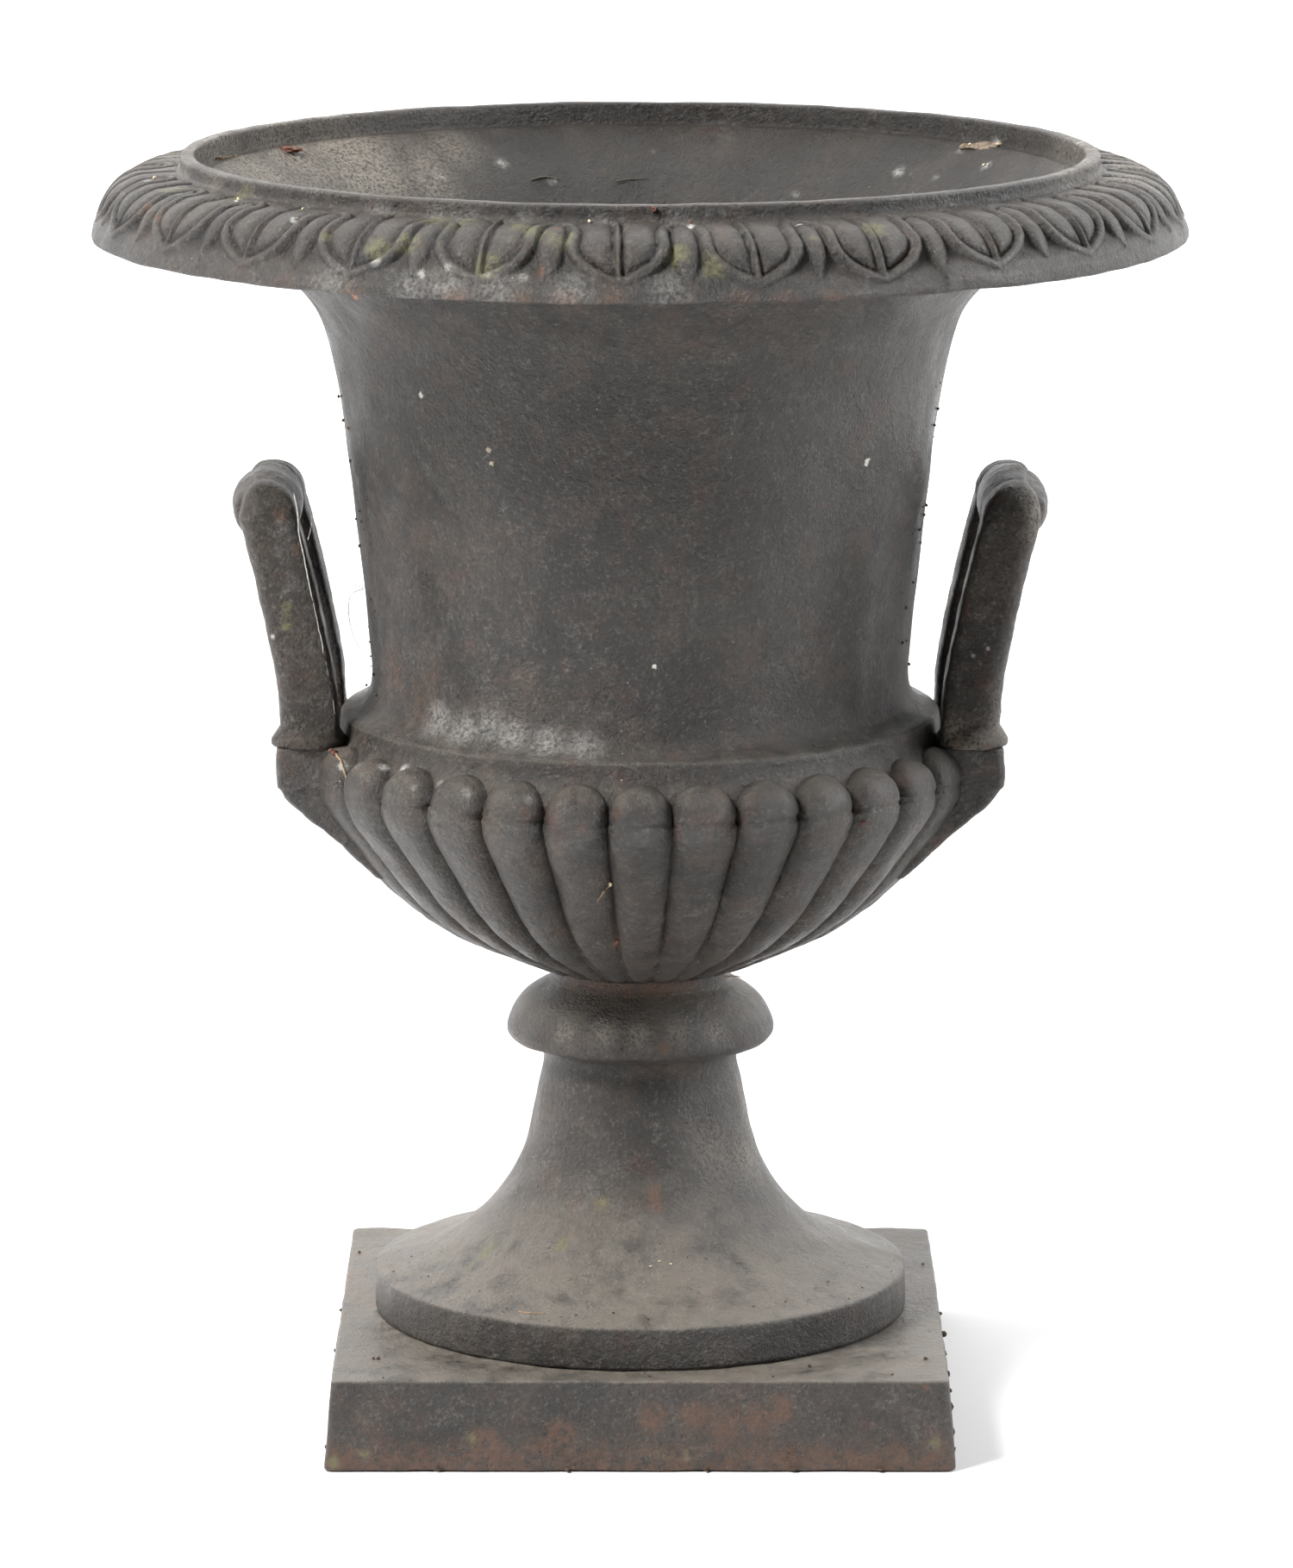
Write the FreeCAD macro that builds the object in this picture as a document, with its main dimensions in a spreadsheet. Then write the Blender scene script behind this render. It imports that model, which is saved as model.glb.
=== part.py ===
import FreeCAD, Part
import math
import os

import Sketcher

# Cast iron garden urn: a bell with a rolled rim, a fluted bowl, two loop handles,
# a turned socle and a square plinth, held together by flange bolts, handle studs
# and one tie rod. Millimetres, +Z up, origin at the middle of the plinth's foot.

# Driving dimensions

SIZES = {
    # rim and lip of the bell
    "bell_height": 317.0,
    "lip_radius": 251.5,
    "lip_width": 8.0,
    "lip_drop": 7.0,
    "lip_round": 2.0,
    "band_drop": 13.5,
    "ledge_width": 6.0,
    "quirk_width": 3.5,
    "rim_projection": 49.0,
    "rim_drop": 45.0,
    "rim_edge_width": 7.0,
    # leaves of the rim
    "leaf_count": 26,
    "leaf_turn": 4.5,
    "leaf_recess": 4.5,
    "leaf_field": 2.4,
    # wall of the bell
    "bell_wall": 8.5,
    "flare_inset": 1.5,
    # foot of the bell and the flanges
    "bell_foot_inset": 22.0,
    "bell_foot_flare": 16.9,
    "bell_foot_rise": 5.0,
    "bell_foot_round": 2.0,
    "bell_seat_inset": 7.5,
    "flange_width": 40.0,
    "bell_flange": 8.0,
    "bowl_flange": 9.0,
    "flange_bolt_inset": 11.0,
    "flange_bolt_count": 4,
    "flange_bolt_radius": 4.0,
    "flange_bolt_head": 5.3,
    "flange_bolt_flats": 13.0,
    "flange_nut": 6.5,
    "flange_washer_radius": 8.0,
    "flange_washer": 1.6,
    "bolt_play": 0.6,
    "thread_play": 0.3,
    "bolt_tail": 3.0,
    "bolt_chamfer": 0.8,
    # fluted bowl
    "bowl_radius": 187.5,
    "bowl_depth": 118.0,
    "bowl_shoulder": 21.0,
    "bowl_foot_radius": 55.0,
    "bowl_floor": 12.0,
    "bowl_floor_radius": 60.0,
    "bowl_wall": 8.0,
    "bowl_wall_rise": 6.0,
    "flute_count": 32,
    "shoulder_fall": 6.5,
    "shoulder_draw": 3.0,
    "flange_root": 4.0,
    "drain_count": 3,
    "drain_radius": 5.0,
    "drain_ring": 31.5,
    # brackets of the bowl
    "bracket_overhang": 18.2,
    "bracket_half_width": 18.0,
    "bracket_top_drop": 6.0,
    "bracket_height": 72.0,
    "bracket_face": 22.0,
    "bracket_tail": 8.0,
    "bracket_plate": 24.0,
    "nut_pocket_radius": 12.0,
    # handles
    "handle_height": 131.5,
    "leg_spacing": 90.0,
    "leg_inset": 6.0,
    "leg_width": 33.0,
    "leg_depth": 28.0,
    "leg_inner_round": 3.0,
    "leg_outer_round": 6.0,
    "collar_radius": 20.8,
    "collar_band": 4.0,
    "collar_slope": 9.0,
    "collar_neck": 3.0,
    "seat_play": 0.6,
    "grip_lean": 24.8,
    "grip_width": 40.0,
    "grip_thickness": 35.0,
    "grip_overhang": 14.5,
    "grip_inner_round": 12.0,
    "grip_outer_round": 15.0,
    "stud_radius": 5.0,
    "stud_embed": 26.0,
    "stud_tail": 2.5,
    "stud_washer_radius": 10.5,
    "stud_washer": 2.0,
    "stud_nut": 8.0,
    "stud_nut_flats": 17.0,
    # socle
    "socle_height": 195.0,
    "neck_radius": 49.5,
    "neck_drop": 7.0,
    "neck_bore_radius": 38.0,
    "neck_bore_drop": 13.0,
    "knop_radius": 75.0,
    "knop_wall": 17.0,
    "knop_hollow_half": 5.0,
    "stem_radius": 54.0,
    "step_radius": 149.0,
    "step_height": 24.0,
    "step_round": 1.5,
    "socle_wall": 10.0,
    # plinth
    "plinth_height": 50.0,
    "plinth_side": 336.4,
    "plinth_draft": 3.9,
    "plinth_wall": 10.0,
    "plinth_plate": 9.0,
    "plinth_corner": 4.0,
    "plinth_bevel": 2.0,
    # tie rod
    "rod_radius": 8.0,
    "rod_play": 1.0,
    "rod_tail": 5.0,
    "rod_chamfer": 1.5,
    "tie_washer": 4.0,
    "tie_washer_radius": 25.0,
    "tie_nut": 13.0,
    "tie_nut_flats": 24.0,
    # how far a cut runs past what it cuts
    "overrun": 4.0,
}

# Bulges of arcs: the sagitta as a share of half the chord

quarter_turn_share = 0.4142
bell_lip_share = 0.24
bell_roll_share = 0.14
bell_roll_inner_share = 0.24
bell_under_share = 0.08
bell_flare_share = 0.127
bell_shoulder_share = 0.125
bell_cove_share = 0.287
knop_crown_share = 0.248
knop_edge_share = 0.35
stem_top_share = 0.3
stem_share = 0.062
trumpet_high_bulge_share = 0.118
trumpet_low_bulge_share = 0.08

# Inner side of a sloping wall: how much of its thickness is taken across and down

rolled_wall_shares = (0.75, 0.66)
flaring_wall_shares = (0.82, -0.57)
steep_wall_shares = (0.90, 0.42)
gentle_wall_shares = (0.50, 0.87)

# Rolled rim: share of its projection beyond the lip, and share of its drop

rim_crown_shares = (0.3367, 0.2111)
rim_turn_shares = (0.8265, 0.4889)

# The same rim's skin: how much of its depth is taken across and up at each point

rim_skin_shares = ((0.05, 1.0), (0.25, 0.97), (0.80, 0.60), (1.0, 0.12))

# One side of a leaf: share of the pitch of the leaves across, and share of the way
# down the rim

leaf_recess_shares = (
    (0.402, 0.198),
    (0.405, 0.614),
    (0.454, 0.822),
    (0.313, 0.785),
    (0.395, 0.546),
)
leaf_field_shares = (
    (0.039, 0.061),
    (0.039, 0.828),
    (0.209, 0.707),
    (0.286, 0.440),
    (0.298, 0.061),
)

# Outside of the bell: share of the way from the waist out to the flare, and share
# of the bell's height above its seat

waist_level_share = 0.0978
swell_shares = (0.1696, 0.5836)
shoulder_shares = (0.3343, 0.7498)
flare_level_share = 0.9306

# Outside of the socle: share of its height above the plinth, and for the trumpet
# also the share of the way from the stem out to the step

knop_level_share = 0.8231
knop_foot_shares = (0.88, 0.7795)
stem_level_share = 0.7385
trumpet_high_shares = (0.1789, 0.3979)
trumpet_low_shares = (0.5158, 0.2144)

# Lobes: half width as a share of the radius of their middle, and how far the
# hollow between two lobes lies inside their crest, as a share of the crest radius

lobe_width_share = 0.0965
lobe_rise_share = 0.06

# Inner end of a bracket, inside the bowl: share of the bowl's radius

bracket_root_share = 0.7467

# Crest of a lobe from the widest level down: share of the bowl's radius and
# share of its depth above its bottom

crest_shares = (
    (1.000, 1.000),
    (0.960, 0.805),
    (0.877, 0.635),
    (0.693, 0.321),
    (0.453, 0.110),
    (0.341, 0.028),
)

# Core of the bowl under the lobes from its foot up: which crest each point lies
# under, and the bulge of the run to the next one

core_run_shares = ((5, 0.054), (3, 0.05), (1, 0.226), (0, 0))

# Middle line of a handle's leg: share of the way from the collar's middle out to
# the grip's middle, and share of the way from the bracket up to the grip's middle

leg_shares = (
    (0.000, 0.030),
    (0.056, 0.263),
    (0.242, 0.453),
    (0.464, 0.651),
    (0.685, 0.826),
    (0.903, 0.966),
)

# Grip: share of the way from its middle to its end, and how full it is there

grip_shares = (
    (0.000, 1.00),
    (0.250, 0.975),
    (0.520, 0.905),
    (0.955, 0.82),
    (1.000, 0.72),
)

doc = FreeCAD.newDocument("garden_urn")
sheet = doc.addObject("Spreadsheet::Sheet", "Sizes")
for row, (alias, number) in enumerate(SIZES.items(), start=1):
    sheet.set(f"A{row}", alias)
    sheet.set(f"B{row}", str(number))
    sheet.setAlias(f"B{row}", alias)
doc.recompute()


class Size:
    """A value of the sheet, or a sum of such values, with the formula that gives it."""

    def __init__(self, value, formula):
        self.value = value
        self.formula = formula

    def __add__(self, other):
        other = as_size(other)
        return Size(self.value + other.value, f"({self.formula} + {other.formula})")

    def __sub__(self, other):
        other = as_size(other)
        return Size(self.value - other.value, f"({self.formula} - {other.formula})")

    def __mul__(self, other):
        other = as_size(other)
        return Size(self.value * other.value, f"({self.formula} * {other.formula})")

    def __truediv__(self, other):
        other = as_size(other)
        return Size(self.value / other.value, f"({self.formula} / {other.formula})")

    def __neg__(self):
        return Size(-self.value, f"(0 - {self.formula})")


def as_size(thing):
    """A plain number as a Size, and a Size as it is."""
    return thing if isinstance(thing, Size) else Size(float(thing), repr(float(thing)))


def hypotenuse(across, up):
    """The length of the slope with these two sides."""
    return Size(math.hypot(across.value, up.value), f"hypot({across.formula}; {up.formula})")


def size(alias):
    """The sheet's value of that name."""
    return Size(float(sheet.get(alias)), f"Sizes.{alias}")


def between(low, high, share):
    """The place that lies that share of the way from low to high."""
    return low + (high - low) * share


ZERO = Size(0.0, "0")
AXIS = (ZERO, ZERO, ZERO)


# Levels and places that several pieces share

def bowl_bottom():
    """Level where the bowl stands on the socle."""
    return size("plinth_height") + size("socle_height")


def seat_level():
    """Level where the bell stands on the bowl."""
    return bowl_bottom() + size("bowl_depth") + size("bowl_shoulder")


def bracket_top():
    """Level where the collars stand on the brackets."""
    return seat_level() - size("bracket_top_drop")


def bracket_tail():
    """Level where a bracket runs out into the bowl."""
    return bracket_top() - size("bracket_height")


def bracket_floor():
    """Underside of the plate of a bracket, where a washer seats."""
    return bracket_top() - size("bracket_plate")


def leg_middle():
    """How far from the urn's axis a leg stands on its bracket."""
    return size("bowl_radius") - size("leg_inset")


def grip_middle():
    """How far from the urn's axis the grip lies, and how high."""
    return leg_middle() + size("grip_lean"), bracket_top() + size("handle_height")


def bell_foot():
    """Radius of the bell's foot."""
    return size("bowl_radius") - size("bell_foot_inset")


def bell_seat():
    """Radius of the face on which the bell stands."""
    return bell_foot() - size("bell_seat_inset")


def flange_bore():
    """Radius of the opening between bell and bowl."""
    return bell_seat() - size("flange_width")


def flange_top():
    """Upper face of the bell's flange."""
    return seat_level() + size("bell_flange")


def flange_underside():
    """Lower face of the bowl's flange."""
    return seat_level() - size("bowl_flange")


def floor_top():
    """Upper face of the bowl's floor."""
    return bowl_bottom() + size("bowl_floor")


def plate_underside():
    """Lower face of the plinth's top plate."""
    return size("plinth_height") - size("plinth_plate")


def stud_places():
    """Where the four legs stand: which side of the urn and how far along it."""
    half = size("leg_spacing") / 2
    return [(side, half * end) for side in (1, -1) for end in (1, -1)]


def ring_places(ring, count):
    """Places spread evenly round a ring, the first one to the right."""
    places = []
    for number in range(int(count.value)):
        turned = f"(360 deg * {number} / {count.formula})"
        angle = 2 * math.pi * number / count.value
        across = ring * Size(math.cos(angle), f"cos{turned}")
        along = ring * Size(math.sin(angle), f"sin{turned}")
        places.append((across, along))
    return places


def bolt_places():
    """Where the flange bolts stand."""
    return ring_places(flange_bore() + size("flange_bolt_inset"), size("flange_bolt_count"))


# Sketches and features

def bind(thing, name, amount):
    """Gives a property its value and ties it to the sheet."""
    thing.setExpression(name, as_size(amount).formula)


def new_body(label):
    body = doc.addObject("PartDesign::Body", label)
    body.Label = label
    return body


def origin_feature(body, role):
    return next(part for part in body.Origin.OriginFeatures if part.Role == role)


def new_sketch(body, name, plane="XZ_Plane", place=AXIS):
    """A sketch on one of the body's own planes, with its origin moved to a place."""
    sketch = body.newObject("Sketcher::SketchObject", name)
    sketch.AttachmentSupport = [(origin_feature(body, plane), "")]
    sketch.MapMode = "FlatFace"
    across, along, up = place
    moves = (across, up, -along) if plane == "XZ_Plane" else (across, along, up)
    for axis, amount in zip("xyz", moves):
        bind(sketch, f"AttachmentOffset.Base.{axis}", amount)
    return sketch


def pin_point(sketch, edge, end, across, up):
    """Holds one end of an edge at its place."""
    for kind, amount in (("DistanceX", across), ("DistanceY", up)):
        index = sketch.addConstraint(Sketcher.Constraint(kind, -1, 1, edge, end, amount.value))
        bind(sketch, f"Constraints[{index}]", amount)


def draw_outline(sketch, points):
    """A closed outline of (across, up, bulge): a bulge bends the run to the next point.

    The bulge is the sagitta of the arc as a share of half its chord, positive
    where the run turns left on its way.
    """
    ends = []
    for index, (across, up, bulge) in enumerate(points):
        next_across, next_up, _ = points[(index + 1) % len(points)]
        start = FreeCAD.Vector(across.value, up.value, 0)
        stop = FreeCAD.Vector(next_across.value, next_up.value, 0)
        if bulge == 0:
            edge = sketch.addGeometry(Part.LineSegment(start, stop), False)
            ends.append((edge, 1, 2))
            continue
        chord = hypotenuse(next_across - across, next_up - up)
        radius = chord * ((1 + bulge * bulge) / (4 * abs(bulge)))
        run = (stop - start).normalize()
        left = FreeCAD.Vector(-run.y, run.x, 0)
        centre = (start + stop) * 0.5 + left * (chord.value * (1 - bulge * bulge) / (4 * bulge))
        first, last = (start, stop) if bulge > 0 else (stop, start)
        angles = [math.atan2(spot.y - centre.y, spot.x - centre.x) for spot in (first, last)]
        circle = Part.Circle(centre, FreeCAD.Vector(0, 0, 1), radius.value)
        edge = sketch.addGeometry(Part.ArcOfCircle(circle, angles[0], angles[1]), False)
        ends.append((edge, 1, 2) if bulge > 0 else (edge, 2, 1))
        row_index = sketch.addConstraint(Sketcher.Constraint("Radius", edge, radius.value))
        bind(sketch, f"Constraints[{row_index}]", radius)
    for index, (edge, start_end, _) in enumerate(ends):
        before, _, stop_end = ends[index - 1]
        sketch.addConstraint(Sketcher.Constraint("Coincident", before, stop_end, edge, start_end))
        pin_point(sketch, edge, start_end, points[index][0], points[index][1])


def draw_circle(sketch, across, up, radius):
    """A circle about a point, with its place and radius tied to the sheet."""
    centre = FreeCAD.Vector(across.value, up.value, 0)
    edge = sketch.addGeometry(Part.Circle(centre, FreeCAD.Vector(0, 0, 1), radius.value), False)
    index = sketch.addConstraint(Sketcher.Constraint("Radius", edge, radius.value))
    bind(sketch, f"Constraints[{index}]", radius)
    pin_point(sketch, edge, 3, across, up)


def mirrored(points, side):
    """The outline as it is on one side of the urn, 1 or -1."""
    return [(across * side, up, bulge * side) for across, up, bulge in points]


def rounded_section(inner, outer, low, high, inner_round, outer_round):
    """A rectangle whose two inner and two outer corners are rounded."""
    turn_share = quarter_turn_share
    return [
        (inner + inner_round, low, 0),
        (outer - outer_round, low, turn_share),
        (outer, low + outer_round, 0),
        (outer, high - outer_round, turn_share),
        (outer - outer_round, high, 0),
        (inner + inner_round, high, turn_share),
        (inner, high - inner_round, 0),
        (inner, low + inner_round, turn_share),
    ]


def turn(body, name, points, kind="PartDesign::Revolution", place=AXIS):
    """Turns an outline of (radius, height, bulge) about an upright line at a place."""
    sketch = new_sketch(body, f"{name}_outline", "XZ_Plane", place)
    draw_outline(sketch, points)
    feature = body.newObject(kind, name)
    feature.Profile = sketch
    feature.ReferenceAxis = (sketch, ["V_Axis"])
    feature.Angle = 360
    return feature


def loft(body, name, sections, ruled=False):
    """A solid drawn through a row of sketches."""
    feature = body.newObject("PartDesign::AdditiveLoft", name)
    feature.Profile = sections[0]
    feature.Sections = sections[1:]
    feature.Ruled = ruled
    return feature


def repeat(body, name, originals, count):
    """Repeats features round the urn's axis."""
    pattern = body.newObject("PartDesign::PolarPattern", name)
    pattern.Originals = originals
    pattern.Axis = (origin_feature(body, "Z_Axis"), [""])
    pattern.Angle = 360
    bind(pattern, "Occurrences", count)
    body.Tip = pattern
    return pattern


def drill(body, name, holes, low, high):
    """Drills upright holes of (across, along, radius) down from one height to another."""
    sketch = new_sketch(body, f"{name}_circles", "XY_Plane", (ZERO, ZERO, high))
    for across, along, radius in holes:
        draw_circle(sketch, across, along, radius)
    pocket = body.newObject("PartDesign::Pocket", name)
    pocket.Profile = sketch
    bind(pocket, "Length", high - low)


# The bell: lip, groove, rolled rim with its leaves, flared wall and bolting flange

def lip_level():
    """Top of the bell's lip."""
    return seat_level() + size("bell_height")


def rim_edge():
    """Radius and height of the lower edge of the rolled rim."""
    return size("lip_radius") + size("rim_projection"), lip_level() - size("rim_drop")


def rim_points():
    """Four points down the outside of the rolled rim: radius and height."""
    lip_out = size("lip_radius")
    quirk = size("quirk_width")
    rim, edge = rim_edge()
    points = [(lip_out + quirk, lip_level() - size("lip_drop") - quirk)]
    for out_share, down_share in (rim_crown_shares, rim_turn_shares):
        points.append((between(lip_out, rim, out_share), between(lip_level(), edge, down_share)))
    points.append((rim, edge + size("lip_round")))
    return points


def cast_bell():
    """The bell as it is turned, with its bolt holes."""
    body = new_body("bell_casting")
    seat = seat_level()
    lip_top = lip_level()
    lip_out = size("lip_radius")
    lip_in = lip_out - size("lip_width")
    soft = size("lip_round")
    rim, edge = rim_edge()
    quirk_point, crown_point, roll_point, edge_point = rim_points()
    crown, crown_z = crown_point
    roll, roll_z = roll_point
    wall = size("bell_wall")
    foot = bell_foot()
    foot_z = seat + size("bell_foot_rise")
    foot_soft = size("bell_foot_round")
    waist = foot - size("bell_foot_flare")
    waist_z = between(seat, lip_top, waist_level_share)
    flare = lip_out - size("flare_inset")
    flare_z = between(seat, lip_top, flare_level_share)
    swell = between(waist, flare, swell_shares[0])
    swell_z = between(seat, lip_top, swell_shares[1])
    shoulder = between(waist, flare, shoulder_shares[0])
    shoulder_z = between(seat, lip_top, shoulder_shares[1])
    ledge_z = lip_top - size("band_drop")
    outline = [
        (lip_in, lip_top - soft, -quarter_turn_share),
        (lip_in + soft, lip_top, 0),
        (lip_out - soft, lip_top, -quarter_turn_share),
        (lip_out, lip_top - soft, 0),
        (lip_out, lip_top - size("lip_drop"), 0),
        (*quirk_point, 0),
        (*crown_point, -bell_lip_share),
        (*roll_point, -bell_roll_share),
        (*edge_point, -quarter_turn_share),
        (rim - soft, edge, 0),
        (rim - size("rim_edge_width"), edge, 0),
        (rim - wall, edge + wall, bell_roll_share),
        (roll - wall * rolled_wall_shares[0], roll_z - wall * rolled_wall_shares[1],
         bell_roll_inner_share),
        (crown, crown_z - wall, bell_under_share),
        (flare, flare_z, bell_flare_share),
        (shoulder, shoulder_z, bell_shoulder_share),
        (swell, swell_z, 0),
        (waist, waist_z, bell_cove_share),
        (foot - foot_soft, foot_z + foot_soft, -quarter_turn_share),
        (foot, foot_z, -quarter_turn_share),
        (foot - foot_soft, foot_z - foot_soft, 0),
        (bell_seat(), seat, 0),
        (flange_bore(), seat, 0),
        (flange_bore(), flange_top(), 0),
        (waist - wall, flange_top(), 0),
        (waist - wall, waist_z, 0),
        (swell - wall, swell_z, -bell_shoulder_share),
        (shoulder - wall * flaring_wall_shares[0], shoulder_z - wall * flaring_wall_shares[1],
         -bell_flare_share),
        (lip_in - size("ledge_width"), ledge_z, 0),
        (lip_in, ledge_z, 0),
    ]
    turn(body, "bell_wall", outline)
    hole_radius = size("flange_bolt_radius") + size("bolt_play")
    drill(body, "bell_bolt_holes", [(*place, hole_radius) for place in bolt_places()],
          seat - size("overrun"), flange_top() + size("overrun"))
    return body


def rim_skin(name, depth):
    """A ring of the rolled rim's skin, from outside it down to a depth."""
    over = size("overrun")
    places = list(zip(rim_points(), rim_skin_shares))
    quirk, crown, roll, edge = [
        (radius + over * across, height + over * up)
        for (radius, height), (across, up) in places]
    deep_quirk, deep_crown, deep_roll, deep_edge = [
        (radius - depth * across, height - depth * up)
        for (radius, height), (across, up) in places]
    body = new_body(name)
    turn(body, f"{name}_ring", [
        (*quirk, 0),
        (*crown, -bell_lip_share),
        (*roll, -bell_roll_share),
        (*edge, 0),
        (*deep_edge, bell_roll_share),
        (*deep_roll, bell_lip_share),
        (*deep_crown, 0),
        (*deep_quirk, 0),
    ])
    return body


def leaf_cut(name, shares, depth):
    """What a leaf loses at one depth, on both sides of its rib."""
    quirk_point, _, _, edge_point = rim_points()
    out = edge_point[0] - quirk_point[0]
    down = quirk_point[1] - edge_point[1]
    slope = hypotenuse(out, down)
    pitch = (quirk_point[0] + edge_point[0]) * math.pi / size("leaf_count")
    sketch = doc.addObject("Sketcher::SketchObject", f"{name}_outlines")
    sketch.Placement.Rotation = FreeCAD.Rotation(FreeCAD.Vector(0, 1, 0), 1)
    set_place(sketch, (quirk_point[0], ZERO, quirk_point[1]))
    sketch.setExpression("Placement.Rotation.Angle", f"atan({down.formula} / {out.formula})")
    for side in (1, -1):
        draw_outline(sketch, [(slope * down_share, pitch * across_share * side, 0)
                              for across_share, down_share in shares])
    block = doc.addObject("Part::Extrusion", f"{name}_block")
    block.Base = sketch
    block.DirMode = "Normal"
    block.Solid = True
    block.Symmetric = True
    bind(block, "LengthFwd", slope)
    return combine("Common", name, rim_skin(f"{name}_skin", depth), block)


def make_bell():
    """The bell with its leaves cut into the rim, evenly all round."""
    one_leaf = doc.addObject("Part::Compound", "one_leaf")
    one_leaf.Links = [
        leaf_cut("leaf_recess", leaf_recess_shares, size("leaf_recess")),
        leaf_cut("leaf_field", leaf_field_shares, size("leaf_field")),
    ]
    turned = []
    for number in range(int(size("leaf_count").value)):
        leaf = doc.addObject("App::Link", f"leaf_{number}")
        leaf.LinkedObject = one_leaf
        leaf.Placement.Rotation = FreeCAD.Rotation(FreeCAD.Vector(0, 0, 1), 1)
        leaf.setExpression("Placement.Rotation.Angle",
                           f"Sizes.leaf_turn * 1 deg + 360 deg * {number} / Sizes.leaf_count")
        turned.append(leaf)
    leaves = doc.addObject("Part::Compound", "leaves")
    leaves.Links = turned
    return label(combine("Cut", "carved_bell", cast_bell(), leaves), "bell")


# The bowl: fluted outside, flange, floor, drains and four brackets

def crest(index):
    """Radius and height of a lobe's crest at one level of the table."""
    radius_share, height_share = crest_shares[index]
    radius = size("bowl_radius") * radius_share
    height = bowl_bottom() + size("bowl_depth") * height_share
    return radius, height


def add_bowl_core(body):
    """The solid core of the bowl, up to the face that the bell stands on."""
    seat = seat_level()
    fall = size("shoulder_fall")
    core_share = 1 - lobe_rise_share
    outline = [(ZERO, bowl_bottom(), 0), (size("bowl_foot_radius"), bowl_bottom(), 0)]
    for index, bulge in core_run_shares:
        radius, height = crest(index)
        outline.append((radius * core_share, height, bulge))
    widest, widest_z = crest(0)
    outline += [
        (widest * core_share - size("shoulder_draw"), widest_z + fall, 0),
        (bell_foot(), seat - fall, 0),
        (bell_seat(), seat, 0),
        (ZERO, seat, 0),
    ]
    turn(body, "bowl_core", outline)


def add_lobes(body):
    """The lobes: each one swells from the foot up to a round head."""
    sections = []
    for index in range(len(crest_shares)):
        radius, height = crest(index)
        middle = radius / (1 + lobe_width_share)
        sketch = new_sketch(body, f"lobe_section_{index}", "XY_Plane", (ZERO, ZERO, height))
        draw_circle(sketch, middle, ZERO, middle * lobe_width_share)
        sections.append(sketch)
    lobe = loft(body, "lobe", sections)
    widest, widest_z = crest(0)
    middle = widest / (1 + lobe_width_share)
    half = middle * lobe_width_share
    head_outline = [
        (ZERO, -half, quarter_turn_share),
        (half, ZERO, quarter_turn_share),
        (ZERO, half, 0),
    ]
    head = turn(body, "lobe_head", head_outline, place=(middle, ZERO, widest_z))
    repeat(body, "lobes", [lobe, head], size("flute_count"))


def add_brackets(body):
    """Four brackets that carry the collars of the handles."""
    top = bracket_top()
    root = size("bowl_radius") * bracket_root_share
    reach = leg_middle() + size("bracket_overhang")
    outline = [
        (root, bracket_tail(), 0),
        (root + size("bracket_tail"), bracket_tail(), 0),
        (reach, top - size("bracket_face"), 0),
        (reach, top, 0),
        (root, top, 0),
    ]
    for number, (side, along) in enumerate(stud_places()):
        sketch = new_sketch(body, f"bracket_outline_{number}", "XZ_Plane", (ZERO, along, ZERO))
        draw_outline(sketch, mirrored(outline, side))
        pad = body.newObject("PartDesign::Pad", f"bracket_{number}")
        pad.Profile = sketch
        pad.Midplane = True
        bind(pad, "Length", size("bracket_half_width") * 2)


def hollow_bowl(body):
    """The hollow of the bowl, with the flange left standing at its mouth."""
    wall = size("bowl_wall")
    core_share = 1 - lobe_rise_share
    widest, widest_z = crest(0)
    over = seat_level() + size("overrun")
    outline = [(ZERO, floor_top(), 0), (size("bowl_floor_radius"), floor_top(), 0)]
    for index in reversed(range(1, len(crest_shares) - 1)):
        radius, height = crest(index)
        outline.append((radius * core_share - wall, height + size("bowl_wall_rise"), 0))
    outline += [
        (widest * core_share - wall, widest_z, 0),
        (bell_seat() - size("flange_root"), flange_underside(), 0),
        (flange_bore(), flange_underside(), 0),
        (flange_bore(), over, 0),
        (ZERO, over, 0),
    ]
    turn(body, "bowl_hollow", outline, "PartDesign::Groove")


def drill_bowl(body):
    """Seats, pockets and holes for everything that is bolted to the bowl."""
    overrun = size("overrun")
    top = bracket_top()
    legs = [(leg_middle() * side, along) for side, along in stud_places()]
    seat_radius = size("collar_radius") + size("seat_play")
    stud_radius = size("stud_radius") + size("bolt_play")
    pocket_radius = size("nut_pocket_radius")
    drill(body, "collar_seats", [(*leg, seat_radius) for leg in legs], top, top + overrun)
    drill(body, "stud_holes", [(*leg, stud_radius) for leg in legs],
          bracket_floor() - overrun, top + overrun)
    drill(body, "nut_pockets", [(*leg, pocket_radius) for leg in legs],
          bracket_tail(), bracket_floor())
    bolt_radius = size("flange_bolt_radius") + size("bolt_play")
    drill(body, "bowl_bolt_holes", [(*place, bolt_radius) for place in bolt_places()],
          flange_underside() - overrun, seat_level() + overrun)
    drains = ring_places(size("drain_ring"), size("drain_count"))
    floor_holes = [(*place, size("drain_radius")) for place in drains]
    floor_holes.append((ZERO, ZERO, size("rod_radius") + size("rod_play")))
    drill(body, "floor_holes", floor_holes,
          bowl_bottom() - overrun, floor_top() + overrun)


def make_bowl():
    body = new_body("fluted_bowl")
    add_bowl_core(body)
    add_brackets(body)
    add_lobes(body)
    hollow_bowl(body)
    drill_bowl(body)
    return body


# Handles: a barrel-shaped grip on two legs, each leg on a round collar

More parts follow.
